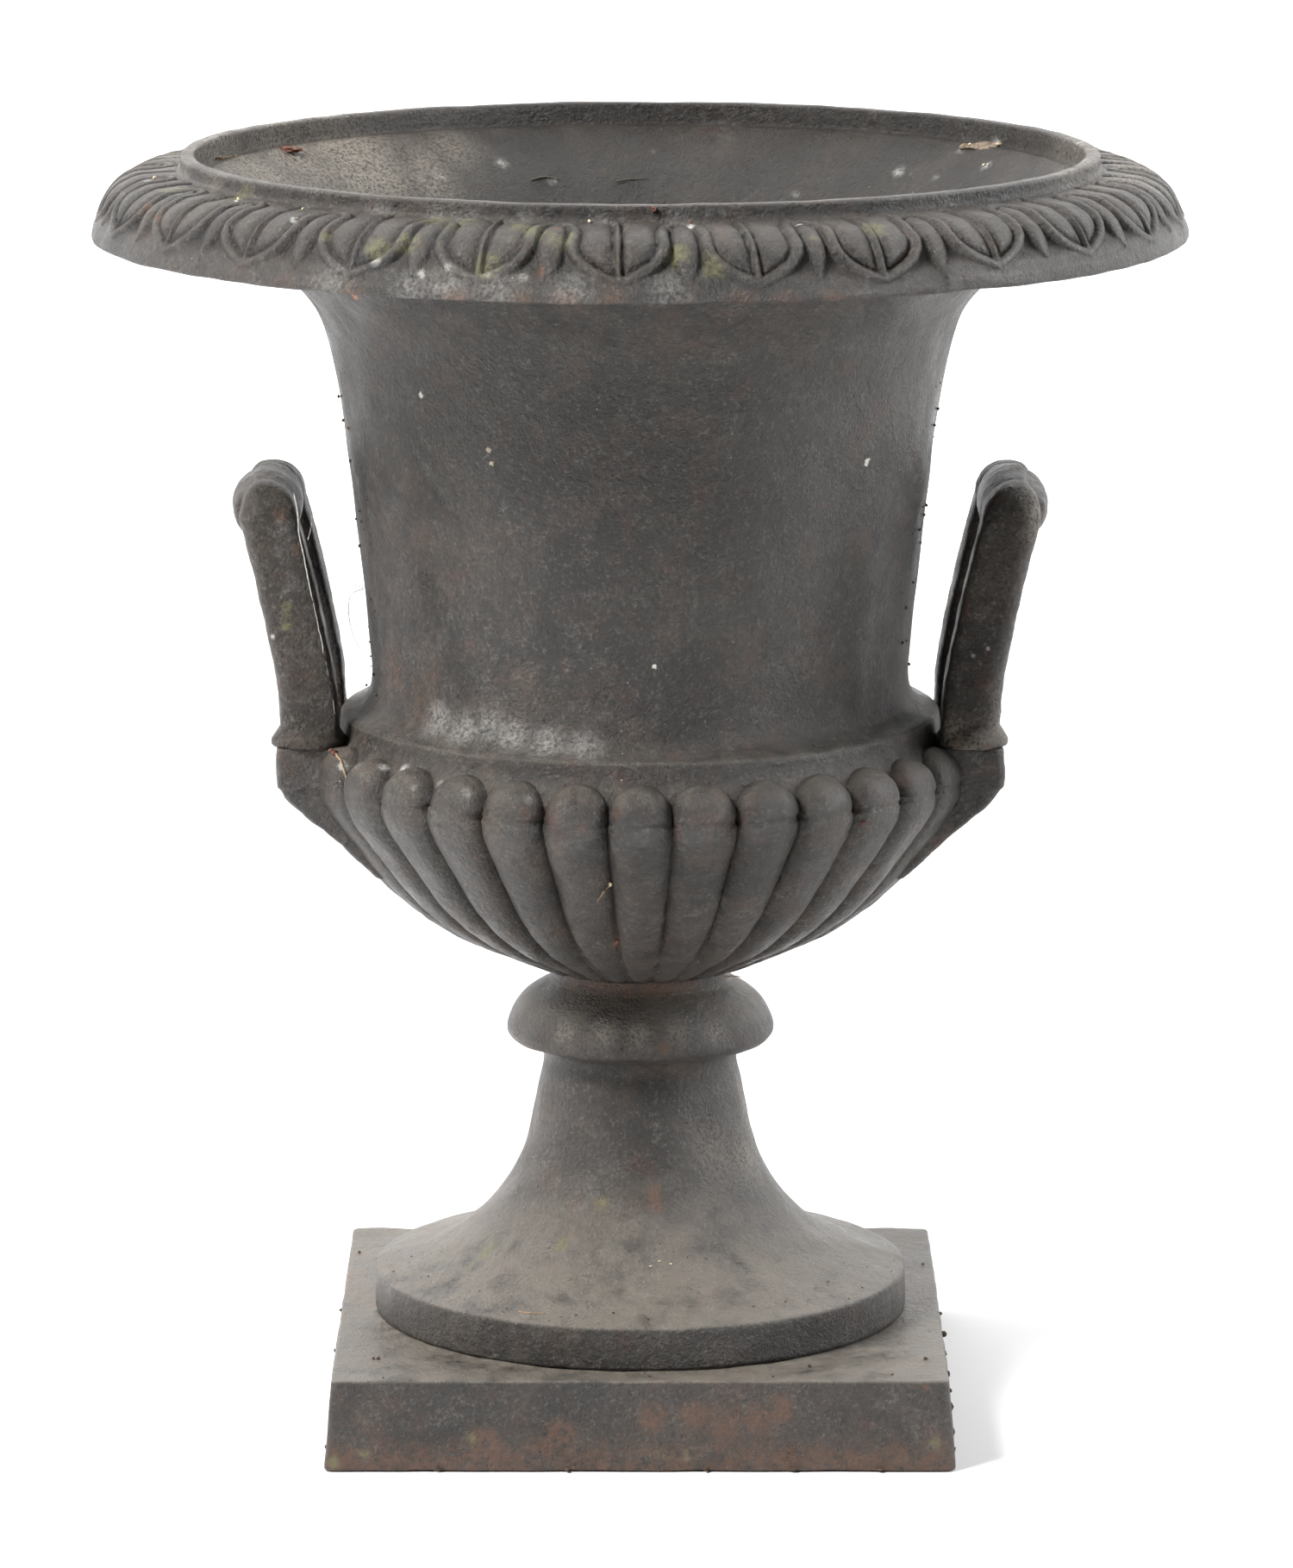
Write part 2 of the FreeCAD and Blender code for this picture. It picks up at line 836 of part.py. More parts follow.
def add_grip(body, side):
    """The grip, thickest in its middle and bevelled at its ends."""
    half_length = size("leg_spacing") / 2 + size("grip_overhang")
    middle, level = grip_middle()
    far_half = [(-along, full) for along, full in reversed(grip_shares[1:])]
    sections = []
    for number, (along_share, full_share) in enumerate(far_half + list(grip_shares)):
        half_width = size("grip_width") / 2 * full_share
        half_height = size("grip_thickness") / 2 * full_share
        points = rounded_section(
            middle - half_width, middle + half_width, level - half_height, level + half_height,
            size("grip_inner_round") * full_share, size("grip_outer_round") * full_share)
        place = (ZERO, half_length * along_share, ZERO)
        sketch = new_sketch(body, f"grip_section_{number}", "XZ_Plane", place)
        draw_outline(sketch, mirrored(points, side))
        sections.append(sketch)
    loft(body, "grip", sections, ruled=True)


def add_leg(body, side, along, name):
    """One leg, bending outward on its way up to the grip."""
    half_width = size("leg_width") / 2
    half_depth = size("leg_depth") / 2
    low = bracket_top() + size("collar_band")
    grip, grip_z = grip_middle()
    sections = []
    for number, (out_share, up_share) in enumerate(leg_shares):
        middle = between(leg_middle(), grip, out_share)
        height = between(low, grip_z, up_share)
        points = rounded_section(
            middle - half_width, middle + half_width, -half_depth, half_depth,
            size("leg_inner_round"), size("leg_outer_round"))
        place = (ZERO, along, height)
        sketch = new_sketch(body, f"{name}_section_{number}", "XY_Plane", place)
        draw_outline(sketch, mirrored(points, side))
        sections.append(sketch)
    loft(body, name, sections)


def add_collar(body, side, along, name):
    """The round collar that stands on a bracket."""
    foot = bracket_top()
    band = foot + size("collar_band")
    outline = [
        (ZERO, foot, 0),
        (size("collar_radius"), foot, 0),
        (size("collar_radius"), band, 0),
        (size("leg_width") / 2 - size("collar_neck"), band + size("collar_slope"), 0),
        (ZERO, band + size("collar_slope"), 0),
    ]
    turn(body, name, outline, place=(leg_middle() * side, along, ZERO))


def make_handle(label, side):
    body = new_body(label)
    add_grip(body, side)
    half = size("leg_spacing") / 2
    for number, end in enumerate((1, -1)):
        add_leg(body, side, half * end, f"leg_{number}")
        add_collar(body, side, half * end, f"collar_{number}")
    foot = bracket_top()
    socket = size("stud_radius") + size("thread_play")
    sockets = [(leg_middle() * side, half * end, socket) for end in (1, -1)]
    drill(body, "stud_sockets", sockets, foot - size("overrun"), foot + size("stud_embed"))
    return body


# The socle: neck, knop, stem, trumpet and step, hollow inside

def make_socle():
    body = new_body("socle")
    top = bowl_bottom()
    bottom = size("plinth_height")
    wall = size("socle_wall")
    bore_z = top - size("neck_bore_drop")
    knop = size("knop_radius")
    knop_z = between(bottom, top, knop_level_share)
    knop_foot = knop * knop_foot_shares[0]
    knop_foot_z = between(bottom, top, knop_foot_shares[1])
    hollow = knop - size("knop_wall")
    hollow_half = size("knop_hollow_half")
    stem = size("stem_radius")
    stem_z = between(bottom, top, stem_level_share)
    step = size("step_radius")
    step_top = bottom + size("step_height")
    soft = size("step_round")
    high = between(stem, step, trumpet_high_shares[0])
    high_z = between(bottom, top, trumpet_high_shares[1])
    low = between(stem, step, trumpet_low_shares[0])
    low_z = between(bottom, top, trumpet_low_shares[1])
    outline = [
        (size("neck_bore_radius"), top, 0),
        (size("neck_radius"), top, 0),
        (size("neck_radius"), top - size("neck_drop"), -knop_crown_share),
        (knop, knop_z, -knop_edge_share),
        (knop_foot, knop_foot_z, stem_top_share),
        (stem, stem_z, stem_share),
        (high, high_z, trumpet_high_bulge_share),
        (low, low_z, trumpet_low_bulge_share),
        (step - soft, step_top, -quarter_turn_share),
        (step, step_top - soft, 0),
        (step, bottom, 0),
        (step - wall, bottom, 0),
        (step - wall, step_top - wall, 0),
        (low - wall * gentle_wall_shares[0], low_z - wall * gentle_wall_shares[1], 0),
        (high - wall * steep_wall_shares[0], high_z - wall * steep_wall_shares[1], 0),
        (stem - wall, stem_z, 0),
        (hollow, knop_z - hollow_half, 0),
        (hollow, knop_z + hollow_half, 0),
        (size("neck_bore_radius"), bore_z, 0),
    ]
    turn(body, "socle_wall", outline)
    return body


# The plinth: a square block drawn in towards its top, hollow below its plate

def make_plinth():
    body = new_body("plinth")
    height = size("plinth_height")
    bevel = size("plinth_bevel")
    corner = size("plinth_corner")
    top = size("plinth_side") / 2
    foot = top + size("plinth_draft")
    sections = []
    levels = ((foot, ZERO), (top, height - bevel), (top - bevel, height))
    for number, (half, level) in enumerate(levels):
        sketch = new_sketch(body, f"plinth_section_{number}", "XY_Plane", (ZERO, ZERO, level))
        draw_outline(sketch, rounded_section(-half, half, -half, half, corner, corner))
        sections.append(sketch)
    loft(body, "plinth_block", sections, ruled=True)
    inside = top - size("plinth_wall")
    plane = new_sketch(body, "plinth_hollow_outline", "XY_Plane",
                       (ZERO, ZERO, plate_underside()))
    draw_outline(plane, rounded_section(-inside, inside, -inside, inside, corner, corner))
    hollow = body.newObject("PartDesign::Pocket", "plinth_hollow")
    hollow.Profile = plane
    bind(hollow, "Length", plate_underside() + size("overrun"))
    drill(body, "plinth_rod_hole", [(ZERO, ZERO, size("rod_radius") + size("rod_play"))],
          plate_underside() - size("overrun"), height + size("overrun"))
    return body


# Tie rod, washers, nuts and bolts

def make_tie_rod():
    body = new_body("tie_rod")
    radius = size("rod_radius")
    chamfer = size("rod_chamfer")
    stack = size("tie_washer") + size("tie_nut") + size("rod_tail")
    low = plate_underside() - stack
    high = floor_top() + stack
    turn(body, "rod", [
        (ZERO, low, 0),
        (radius - chamfer, low, 0),
        (radius, low + chamfer, 0),
        (radius, high - chamfer, 0),
        (radius - chamfer, high, 0),
        (ZERO, high, 0),
    ])
    return body


def set_place(thing, place):
    """Puts a solid at a place, tied to the sheet."""
    for axis, amount in zip("xyz", place):
        bind(thing, f"Placement.Base.{axis}", amount)


def cylinder(name, place, radius, length):
    solid = doc.addObject("Part::Cylinder", name)
    bind(solid, "Radius", radius)
    bind(solid, "Height", length)
    set_place(solid, place)
    return solid


def cone(name, place, low_radius, high_radius, length):
    solid = doc.addObject("Part::Cone", name)
    bind(solid, "Radius1", low_radius)
    bind(solid, "Radius2", high_radius)
    bind(solid, "Height", length)
    set_place(solid, place)
    return solid


def combine(kind, name, base, tool):
    """Two solids joined, cut or reduced to what they share."""
    solid = doc.addObject(f"Part::{kind}", name)
    solid.Base = base
    solid.Tool = tool
    return solid


def hexagon(name, place, flats, length):
    """A hexagonal block whose upper corners are turned off."""
    block = doc.addObject("Part::Prism", f"{name}_block")
    block.Polygon = 6
    bind(block, "Circumradius", flats / math.sqrt(3))
    bind(block, "Height", length)
    set_place(block, place)
    turned = cone(f"{name}_turning", place, flats / 2 + length * math.sqrt(3), flats / 2, length)
    return combine("Common", name, block, turned)


def with_hole(name, solid, place, radius, length):
    """A solid with an upright hole right through it."""
    across, along, up = place
    over = size("overrun")
    tool = cylinder(f"{name}_hole", (across, along, up - over), radius, length + over * 2)
    return combine("Cut", name, solid, tool)


def washer(name, place, radius, hole_radius, thickness):
    disc = cylinder(f"{name}_disc", place, radius, thickness)
    return with_hole(name, disc, place, hole_radius, thickness)


def nut(name, place, flats, hole_radius, thickness):
    block = hexagon(f"{name}_hexagon", place, flats, thickness)
    return with_hole(name, block, place, hole_radius, thickness)


def shank(name, place, radius, length, chamfer):
    """A round bar with its lower end chamfered."""
    across, along, up = place
    point = cone(f"{name}_point", place, radius - chamfer, radius, chamfer)
    bar = cylinder(f"{name}_bar", (across, along, up + chamfer), radius, length - chamfer)
    return combine("Fuse", name, bar, point)


def label(solid, node):
    solid.Label = node
    return solid


def group(node, solids):
    """Fasteners of one kind as one sub-part."""
    bundle = doc.addObject("Part::Compound", node)
    bundle.Links = solids
    return label(bundle, node)


def make_flange_fasteners():
    """Bolts down through both flanges, with washers and nuts inside the bowl."""
    radius = size("flange_bolt_radius")
    hole = radius + size("thread_play")
    washer_low = flange_underside() - size("flange_washer")
    nut_low = washer_low - size("flange_nut")
    bolt_low = nut_low - size("bolt_tail")
    bolts, washers, nuts = [], [], []
    for number, (across, along) in enumerate(bolt_places()):
        head = hexagon(f"flange_bolt_head_{number}", (across, along, flange_top()),
                       size("flange_bolt_flats"), size("flange_bolt_head"))
        bar = shank(f"flange_bolt_shank_{number}", (across, along, bolt_low), radius,
                    flange_top() - bolt_low, size("bolt_chamfer"))
        bolts.append(combine("Fuse", f"flange_bolt_{number}", head, bar))
        washers.append(washer(f"flange_washer_{number}", (across, along, washer_low),
                              size("flange_washer_radius"), hole, size("flange_washer")))
        nuts.append(nut(f"flange_nut_{number}", (across, along, nut_low),
                        size("flange_bolt_flats"), hole, size("flange_nut")))
    return [group("flange_bolts", bolts), group("flange_washers", washers),
            group("flange_nuts", nuts)]


def make_handle_fasteners():
    """Studs that hold the collars down, with washers and nuts in the brackets' pockets."""
    radius = size("stud_radius")
    hole = radius + size("thread_play")
    washer_low = bracket_floor() - size("stud_washer")
    nut_low = washer_low - size("stud_nut")
    stud_low = nut_low - size("stud_tail")
    stud_high = bracket_top() + size("stud_embed")
    studs, washers, nuts = [], [], []
    for number, (side, along) in enumerate(stud_places()):
        across = leg_middle() * side
        studs.append(shank(f"handle_stud_{number}", (across, along, stud_low), radius,
                           stud_high - stud_low, size("bolt_chamfer")))
        washers.append(washer(f"handle_washer_{number}", (across, along, washer_low),
                              size("stud_washer_radius"), hole, size("stud_washer")))
        nuts.append(nut(f"handle_nut_{number}", (across, along, nut_low),
                        size("stud_nut_flats"), hole, size("stud_nut")))
    return [group("handle_studs", studs), group("handle_washers", washers),
            group("handle_nuts", nuts)]


def make_tie_fasteners():
    """A washer and a nut at each end of the tie rod."""
    hole = size("rod_radius") + size("thread_play")
    thick = size("tie_washer")
    high = size("tie_nut")
    lower_washer_z = plate_underside() - thick
    solids = []
    for node, level in (("upper_tie_washer", floor_top()), ("lower_tie_washer", lower_washer_z)):
        solid = washer(f"{node}_solid", (ZERO, ZERO, level), size("tie_washer_radius"), hole, thick)
        solids.append(label(solid, node))
    for node, level in (("upper_tie_nut", floor_top() + thick),
                        ("lower_tie_nut", lower_washer_z - high)):
        solid = nut(f"{node}_solid", (ZERO, ZERO, level), size("tie_nut_flats"), hole, high)
        solids.append(label(solid, node))
    return solids


def check(pieces):
    """Stops if any object failed or any sub-part is empty or broken."""
    for thing in doc.Objects:
        if "Invalid" in thing.State or "Error" in thing.State:
            raise RuntimeError(f"{thing.Name} failed: {thing.State}")
    for piece in pieces:
        if piece.Shape.isNull() or not piece.Shape.isValid():
            raise RuntimeError(f"{piece.Label} has no valid shape")


def main():
    pieces = [
        make_bell(),
        make_bowl(),
        make_handle("left_handle", -1),
        make_handle("right_handle", 1),
        make_socle(),
        make_plinth(),
        make_tie_rod(),
        *make_flange_fasteners(),
        *make_handle_fasteners(),
        *make_tie_fasteners(),
    ]
    doc.recompute()
    check(pieces)
    os.makedirs("parts", exist_ok=True)
    for piece in pieces:
        shape = piece.Shape
        shape.exportStep(f"parts/{piece.Label}.step")
        print(f"{piece.Label}: {len(shape.Solids)} solids, {shape.Volume:.0f} mm3")


main()
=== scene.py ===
"""A weathered cast iron garden urn, standing on a pale studio floor.

Every length is in millimetres until a mesh is made, and +Z is up.
"""

import logging
import math
from collections.abc import Sequence
from dataclasses import dataclass, field
from enum import Enum

import bmesh
import bpy
import numpy as np
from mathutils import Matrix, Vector


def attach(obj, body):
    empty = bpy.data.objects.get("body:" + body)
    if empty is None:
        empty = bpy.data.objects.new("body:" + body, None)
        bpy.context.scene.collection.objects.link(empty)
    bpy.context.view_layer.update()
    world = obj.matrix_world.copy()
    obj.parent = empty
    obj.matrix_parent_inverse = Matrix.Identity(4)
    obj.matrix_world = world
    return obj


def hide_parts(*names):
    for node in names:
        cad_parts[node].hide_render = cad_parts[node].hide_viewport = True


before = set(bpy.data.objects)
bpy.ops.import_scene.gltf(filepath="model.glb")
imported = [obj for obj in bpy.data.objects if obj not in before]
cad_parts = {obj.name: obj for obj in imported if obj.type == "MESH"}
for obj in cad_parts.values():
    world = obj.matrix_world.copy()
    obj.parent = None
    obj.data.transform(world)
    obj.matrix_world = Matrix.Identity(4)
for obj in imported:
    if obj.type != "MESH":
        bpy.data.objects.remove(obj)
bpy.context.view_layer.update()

LOG = logging.getLogger("garden_urn")
MILLIMETRE = 0.001
BODY = "root"

Place = tuple[float, float, float]
Outline = tuple[tuple[float, ...], ...]
Colour = tuple[float, float, float]
Piece = bpy.types.Object
Socket = bpy.types.NodeSocket


class Side(Enum):
    """The side of the urn that a handle stands on."""

    LEFT = -1
    RIGHT = 1


class Stain(Enum):
    """What weather and use have left on the iron, and the shade and sheen that are painted on it.
    """

    RUST = "rust"
    DUST = "dust"
    # Lime bloom, and pale patches that paint in sheen.
    LIME = "lime"
    MOSS = "moss"
    # Painted shade inside the bell, at the back.
    GRIME = "grime"


# Curves and meshes


def drawn_curve(points: Sequence, steps: int, smooth: bool = True) -> np.ndarray:
    """Draws a curve through points, with its marks evenly spaced.

    Args:
        points: The places that the curve passes through.
        steps: How many equal runs it is divided into.
        smooth: Whether it bends softly at the points, or runs straight between them.

    Returns:
        The marks as an array of steps + 1 places.
    """
    marks = np.array(points, dtype=float)
    if smooth and len(marks) > 2:
        before = np.vstack([2 * marks[0] - marks[1], marks, 2 * marks[-1] - marks[-2]])
        spans = []
        share = np.linspace(0, 1, 12, endpoint=False)[:, None]
        for a, b, c, d in zip(before, before[1:], before[2:], before[3:]):
            bend = 2 * b + (c - a) * share + (2 * a - 5 * b + 4 * c - d) * share**2
            spans.append(0.5 * (bend + (3 * b - a - 3 * c + d) * share**3))
        marks = np.vstack([*spans, marks[-1:]])
    along = np.concatenate([[0], np.cumsum(np.linalg.norm(np.diff(marks, axis=0), axis=1))])
    even = np.linspace(0, along[-1], steps + 1)
    return np.stack([np.interp(even, along, column) for column in marks.T], axis=1)


def refined(marks: Sequence, longest: float) -> np.ndarray:
    """Divides the runs between marks until none is longer than a length.

    Args:
        marks: The marks, which all stay.
        longest: The longest run that is left.

    Returns:
        The marks and those between them, one per row.
    """
    rows = [np.array(marks[0], dtype=float)]
    for mark in marks[1:]:
        last = rows[-1]
        goal = np.array(mark, dtype=float)
        parts = max(1, math.ceil(np.abs(goal - last).max() / longest))
        rows += [last + (goal - last) * part / parts for part in range(1, parts + 1)]
    return np.array(rows)


def headings(line: np.ndarray) -> list[Vector]:
    """The way that a line runs at each of its marks."""
    last = len(line) - 1
    return [Vector(line[min(number + 1, last)] - line[max(number - 1, 0)]).normalized()
            for number in range(len(line))]


def soft_step(value: np.ndarray, low: float, high: float) -> np.ndarray:
    """Rises smoothly from 0 at low to 1 at high."""
    share = np.clip((value - low) / (high - low), 0, 1)
    return share * share * (3 - 2 * share)


def dome(gap: np.ndarray, reach: float | np.ndarray) -> np.ndarray:
    """A round hump: 1 in its middle, 0 where the gap is its reach."""
    return np.sqrt(np.clip(1 - (gap / reach) ** 2, 0, 1))


def full_turn(sides: int) -> np.ndarray:
    """The angles of evenly spaced points round a ring."""
    return np.linspace(0, 2 * math.pi, sides, endpoint=False)


def squared(wave: np.ndarray, power: float | np.ndarray, half: float) -> np.ndarray:
    """One coordinate of a ring: squarer than a circle where the power is below 1.

    Args:
        wave: The sine or cosine of the ring's angles.
        power: What the wave is raised to.
        half: Half the ring's width.

    Returns:
        The coordinate of each point.
    """
    return np.sign(wave) * np.abs(wave) ** power * half


def swung(places: np.ndarray, turn: float) -> np.ndarray:
    """Points swung about the z axis by an angle."""
    x, y, z = np.moveaxis(places, -1, 0)
    return np.stack([x * math.cos(turn) - y * math.sin(turn),
                     x * math.sin(turn) + y * math.cos(turn), z], axis=-1)


def level_ring(middle: Place, half: float, deep: float, outer: float, inner: float,
               sides: int = 72) -> np.ndarray:
    """A level swelled rectangle: the higher a power, the squarer that side of it.

    Args:
        middle: Its middle.
        half: Half its width along x.
        deep: Half its width along y.
        outer: The power on the side away from the urn.
        inner: The power on the side towards the urn.
        sides: How many points it has.

    Returns:
        Its points.
    """
    angles = full_turn(sides)
    power = 2 / np.where(np.cos(angles) >= 0, outer, inner)
    x = squared(np.cos(angles), power, half)
    y = squared(np.sin(angles), power, deep)
    return np.stack([x, y, np.zeros(sides)], axis=1) + middle


def mesh_object(name: str, places: np.ndarray, faces: list, sharp: bool = False) -> Piece:
    """Makes one object of the scene from points in millimetres.

    Args:
        name: The piece's name.
        places: Its points, one per row.
        faces: Its faces, as rows of point numbers.
        sharp: Whether its faces are shaded flat.

    Returns:
        The new object, linked to the scene.
    """
    mesh = bpy.data.meshes.new(name)
    mesh.from_pydata((places * MILLIMETRE).tolist(), [], faces)
    shell = bmesh.new()
    shell.from_mesh(mesh)
    bmesh.ops.recalc_face_normals(shell, faces=shell.faces)
    shell.to_mesh(mesh)
    shell.free()
    mesh.polygons.foreach_set("use_smooth", [not sharp] * len(mesh.polygons))
    piece = bpy.data.objects.new(name, mesh)
    bpy.context.scene.collection.objects.link(piece)
    return piece


def skin_faces(rows: int, columns: int, closed: bool, first: int = 0) -> list:
    """The faces of a skin stretched over rings of points.

    Args:
        rows: How many rings.
        columns: How many points on each ring.
        closed: Whether the last ring joins the first, or both ends are capped.
        first: The number of the first point.

    Returns:
        Faces as tuples of point numbers.
    """
    ring = np.arange(columns)
    after = np.roll(ring, -1)
    faces: list = []
    for row in range(rows if closed else rows - 1):
        low = first + row * columns
        high = first + ((row + 1) % rows) * columns
        faces += np.stack([low + ring, low + after, high + after, high + ring], axis=1).tolist()
    if not closed:
        faces.append((first + ring[::-1]).tolist())
        faces.append((first + (rows - 1) * columns + ring).tolist())
    return faces


@dataclass
class Shells:
    """Closed shells of rings that are gathered into one piece."""

    places: list[np.ndarray] = field(default_factory=list)
    faces: list = field(default_factory=list)

    def add(self, rings: Sequence) -> "Shells":
        """Adds a shell stretched over rings, with both ends capped."""
        self.faces += skin_faces(len(rings), len(rings[0]), False, sum(map(len, self.places)))
        self.places.append(np.vstack(rings))
        return self

    def cast(self, name: str) -> Piece:
        """Makes the piece."""
        return mesh_object(name, np.vstack(self.places), self.faces)


@dataclass(frozen=True)
class Run:
    """One run of a turned outline.

    Attributes:
        steps: How many equal parts it is divided into.
        points: The radii and heights that it passes through.
        smooth: Whether it bends softly at them, or runs straight between them.
    """

    steps: int
    points: Outline
    smooth: bool = True

    def drawn(self) -> np.ndarray:
        """Its marks."""
        return drawn_curve(self.points, self.steps, self.smooth)


def turned(name: str, runs: Sequence[Run], columns: int,
           relief: np.ndarray | None = None) -> Piece:
    """Turns a closed outline about the urn's axis, with carving along its normals.

    Args:
        name: The piece's name.
        runs: The outline, each run ending where the next begins.
        columns: How many points go round.
        relief: How far each point stands out, a row for each mark, or nothing.

    Returns:
        The turned piece.
    """
    outline = np.vstack([run.drawn()[:-1] for run in runs])
    course = np.roll(outline, -1, axis=0) - np.roll(outline, 1, axis=0)
    course /= np.maximum(np.linalg.norm(course, axis=1, keepdims=True), 1e-9)
    normals = np.stack([-course[:, 1], course[:, 0]], axis=1)
    radii, heights = outline.T
    area = np.sum(radii * np.roll(heights, -1) - np.roll(radii, -1) * heights)
    normals *= -1 if area > 0 else 1
    carved = np.zeros((len(outline), columns)) if relief is None else relief
    angles = full_turn(columns) - math.pi / 2
    radius = outline[:, 0, None] + carved * normals[:, 0, None]
    height = outline[:, 1, None] + carved * normals[:, 1, None]
    places = np.stack([radius * np.cos(angles), radius * np.sin(angles), height], axis=2)
    return mesh_object(name, places.reshape(-1, 3), skin_faces(len(outline), columns, True))


@dataclass(frozen=True)
class Swell:
    """The slow unevenness that a hand-rammed sand mould leaves.

    Attributes:
        depth: How deep it is.
        size: The usual distance from one crest to the next.
        seed: Picks one pattern.
        waves: How many waves it is made of.
        calm: What their sum is divided by, which leaves it about -1 to 1.
        sink: How far the middle of the pattern is sunk into the piece.
    """

    depth: float
    size: float
    seed: int
    waves: int = 14
    calm: float = 5.0
    sink: float = 0.6

    def pattern(self, places: np.ndarray) -> np.ndarray:
        """How high each point of a piece stands, from about -1 to 1."""
        draw = np.random.default_rng(self.seed)
        total = np.zeros(len(places))
        for _ in range(self.waves):
            heading = draw.normal(size=3)
            heading /= np.linalg.norm(heading)
            wave = 2 * math.pi / (self.size * draw.uniform(0.6, 1.8))
            total += np.sin(places @ heading * wave + draw.uniform(0, 2 * math.pi))
        return total / self.calm

    def lay(self, piece: Piece) -> None:
        """Gives a piece the swell, along its normals."""
        mesh = piece.data
        places = np.empty(len(mesh.vertices) * 3)
        normals = np.empty(len(mesh.vertices) * 3)
        mesh.vertices.foreach_get("co", places)
        mesh.vertex_normals.foreach_get("vector", normals)
        places = places.reshape(-1, 3)
        lift = self.pattern(places / MILLIMETRE) - self.sink
        places += normals.reshape(-1, 3) * (lift * self.depth * MILLIMETRE)[:, None]
        mesh.vertices.foreach_set("co", places.ravel())
        mesh.update()


def merged(piece: Piece, grain: float, easing: int = 2) -> None:
    """Casts the overlapping shells of a piece into one skin and eases its corners.

    Args:
        piece: An object made of closed shells that overlap.
        grain: The size of the skin's faces.
        easing: How many times its corners are eased.
    """
    remesh = piece.modifiers.new("one_skin", "REMESH")
    remesh.mode = "VOXEL"
    remesh.voxel_size = grain * MILLIMETRE
    ease = piece.modifiers.new("eased", "SMOOTH")
    ease.factor = 0.5
    ease.iterations = easing
    bpy.context.view_layer.update()
    shaped = piece.evaluated_get(bpy.context.evaluated_depsgraph_get())
    mesh = bpy.data.meshes.new_from_object(shaped)
    piece.modifiers.clear()
    piece.data = mesh
    mesh.polygons.foreach_set("use_smooth", [True] * len(mesh.polygons))


# Stains


@dataclass(frozen=True)
class Mark:
    """Patches of one stain, alike in size and strength, at places given one by one.

    Attributes:
        stain: What they are.
        reach: How far each spreads.
        strength: How strong each is in its middle.
        places: Their middles.
    """

    stain: Stain
    reach: float
    strength: float
    places: tuple[Place, ...]


def near(stain: Stain, reach: float, strength: float, *places: Place) -> Mark:
    """Patches of a stain near the places that are named."""
    return Mark(stain, reach, strength, places)


def painted(piece: Piece, layer: str, values: np.ndarray) -> None:
    """Stores one number per point of a piece for its finish to read."""
    attribute = piece.data.attributes.new(layer, "FLOAT", "POINT")
    attribute.data.foreach_set("value", values.astype(np.float32).ravel())


def stained(piece: Piece, marks: list[Mark]) -> None:
    """Lays the marks on a piece, one layer for each kind of stain.

    Args:
        piece: The piece.
        marks: The patches; those that lie far away leave nothing.
    """
    spots = np.empty(len(piece.data.vertices) * 3)
    piece.data.vertices.foreach_get("co", spots)
    spots = spots.reshape(-1, 3) / MILLIMETRE
    for stain in Stain:
        layer = np.zeros(len(spots))
        for mark in marks:
            for place in mark.places if mark.stain is stain else ():
                gap = np.linalg.norm(spots - np.array(place), axis=1) / mark.reach
                layer = np.maximum(layer, mark.strength * np.exp(-1.5 * gap**2))
        painted(piece, stain.value, layer)


# Finishes


@dataclass(frozen=True)
class Cloud:
    """A pattern of soft uneven clouds.

    Attributes:
        size: The usual size of a cloud.
        detail: How many finer layers it has.
        rough: How strong those are.
        bend: How far the clouds are pulled out of shape.
    """

    size: float
    detail: float = 4.0
    rough: float = 0.55
    bend: float = 0.0


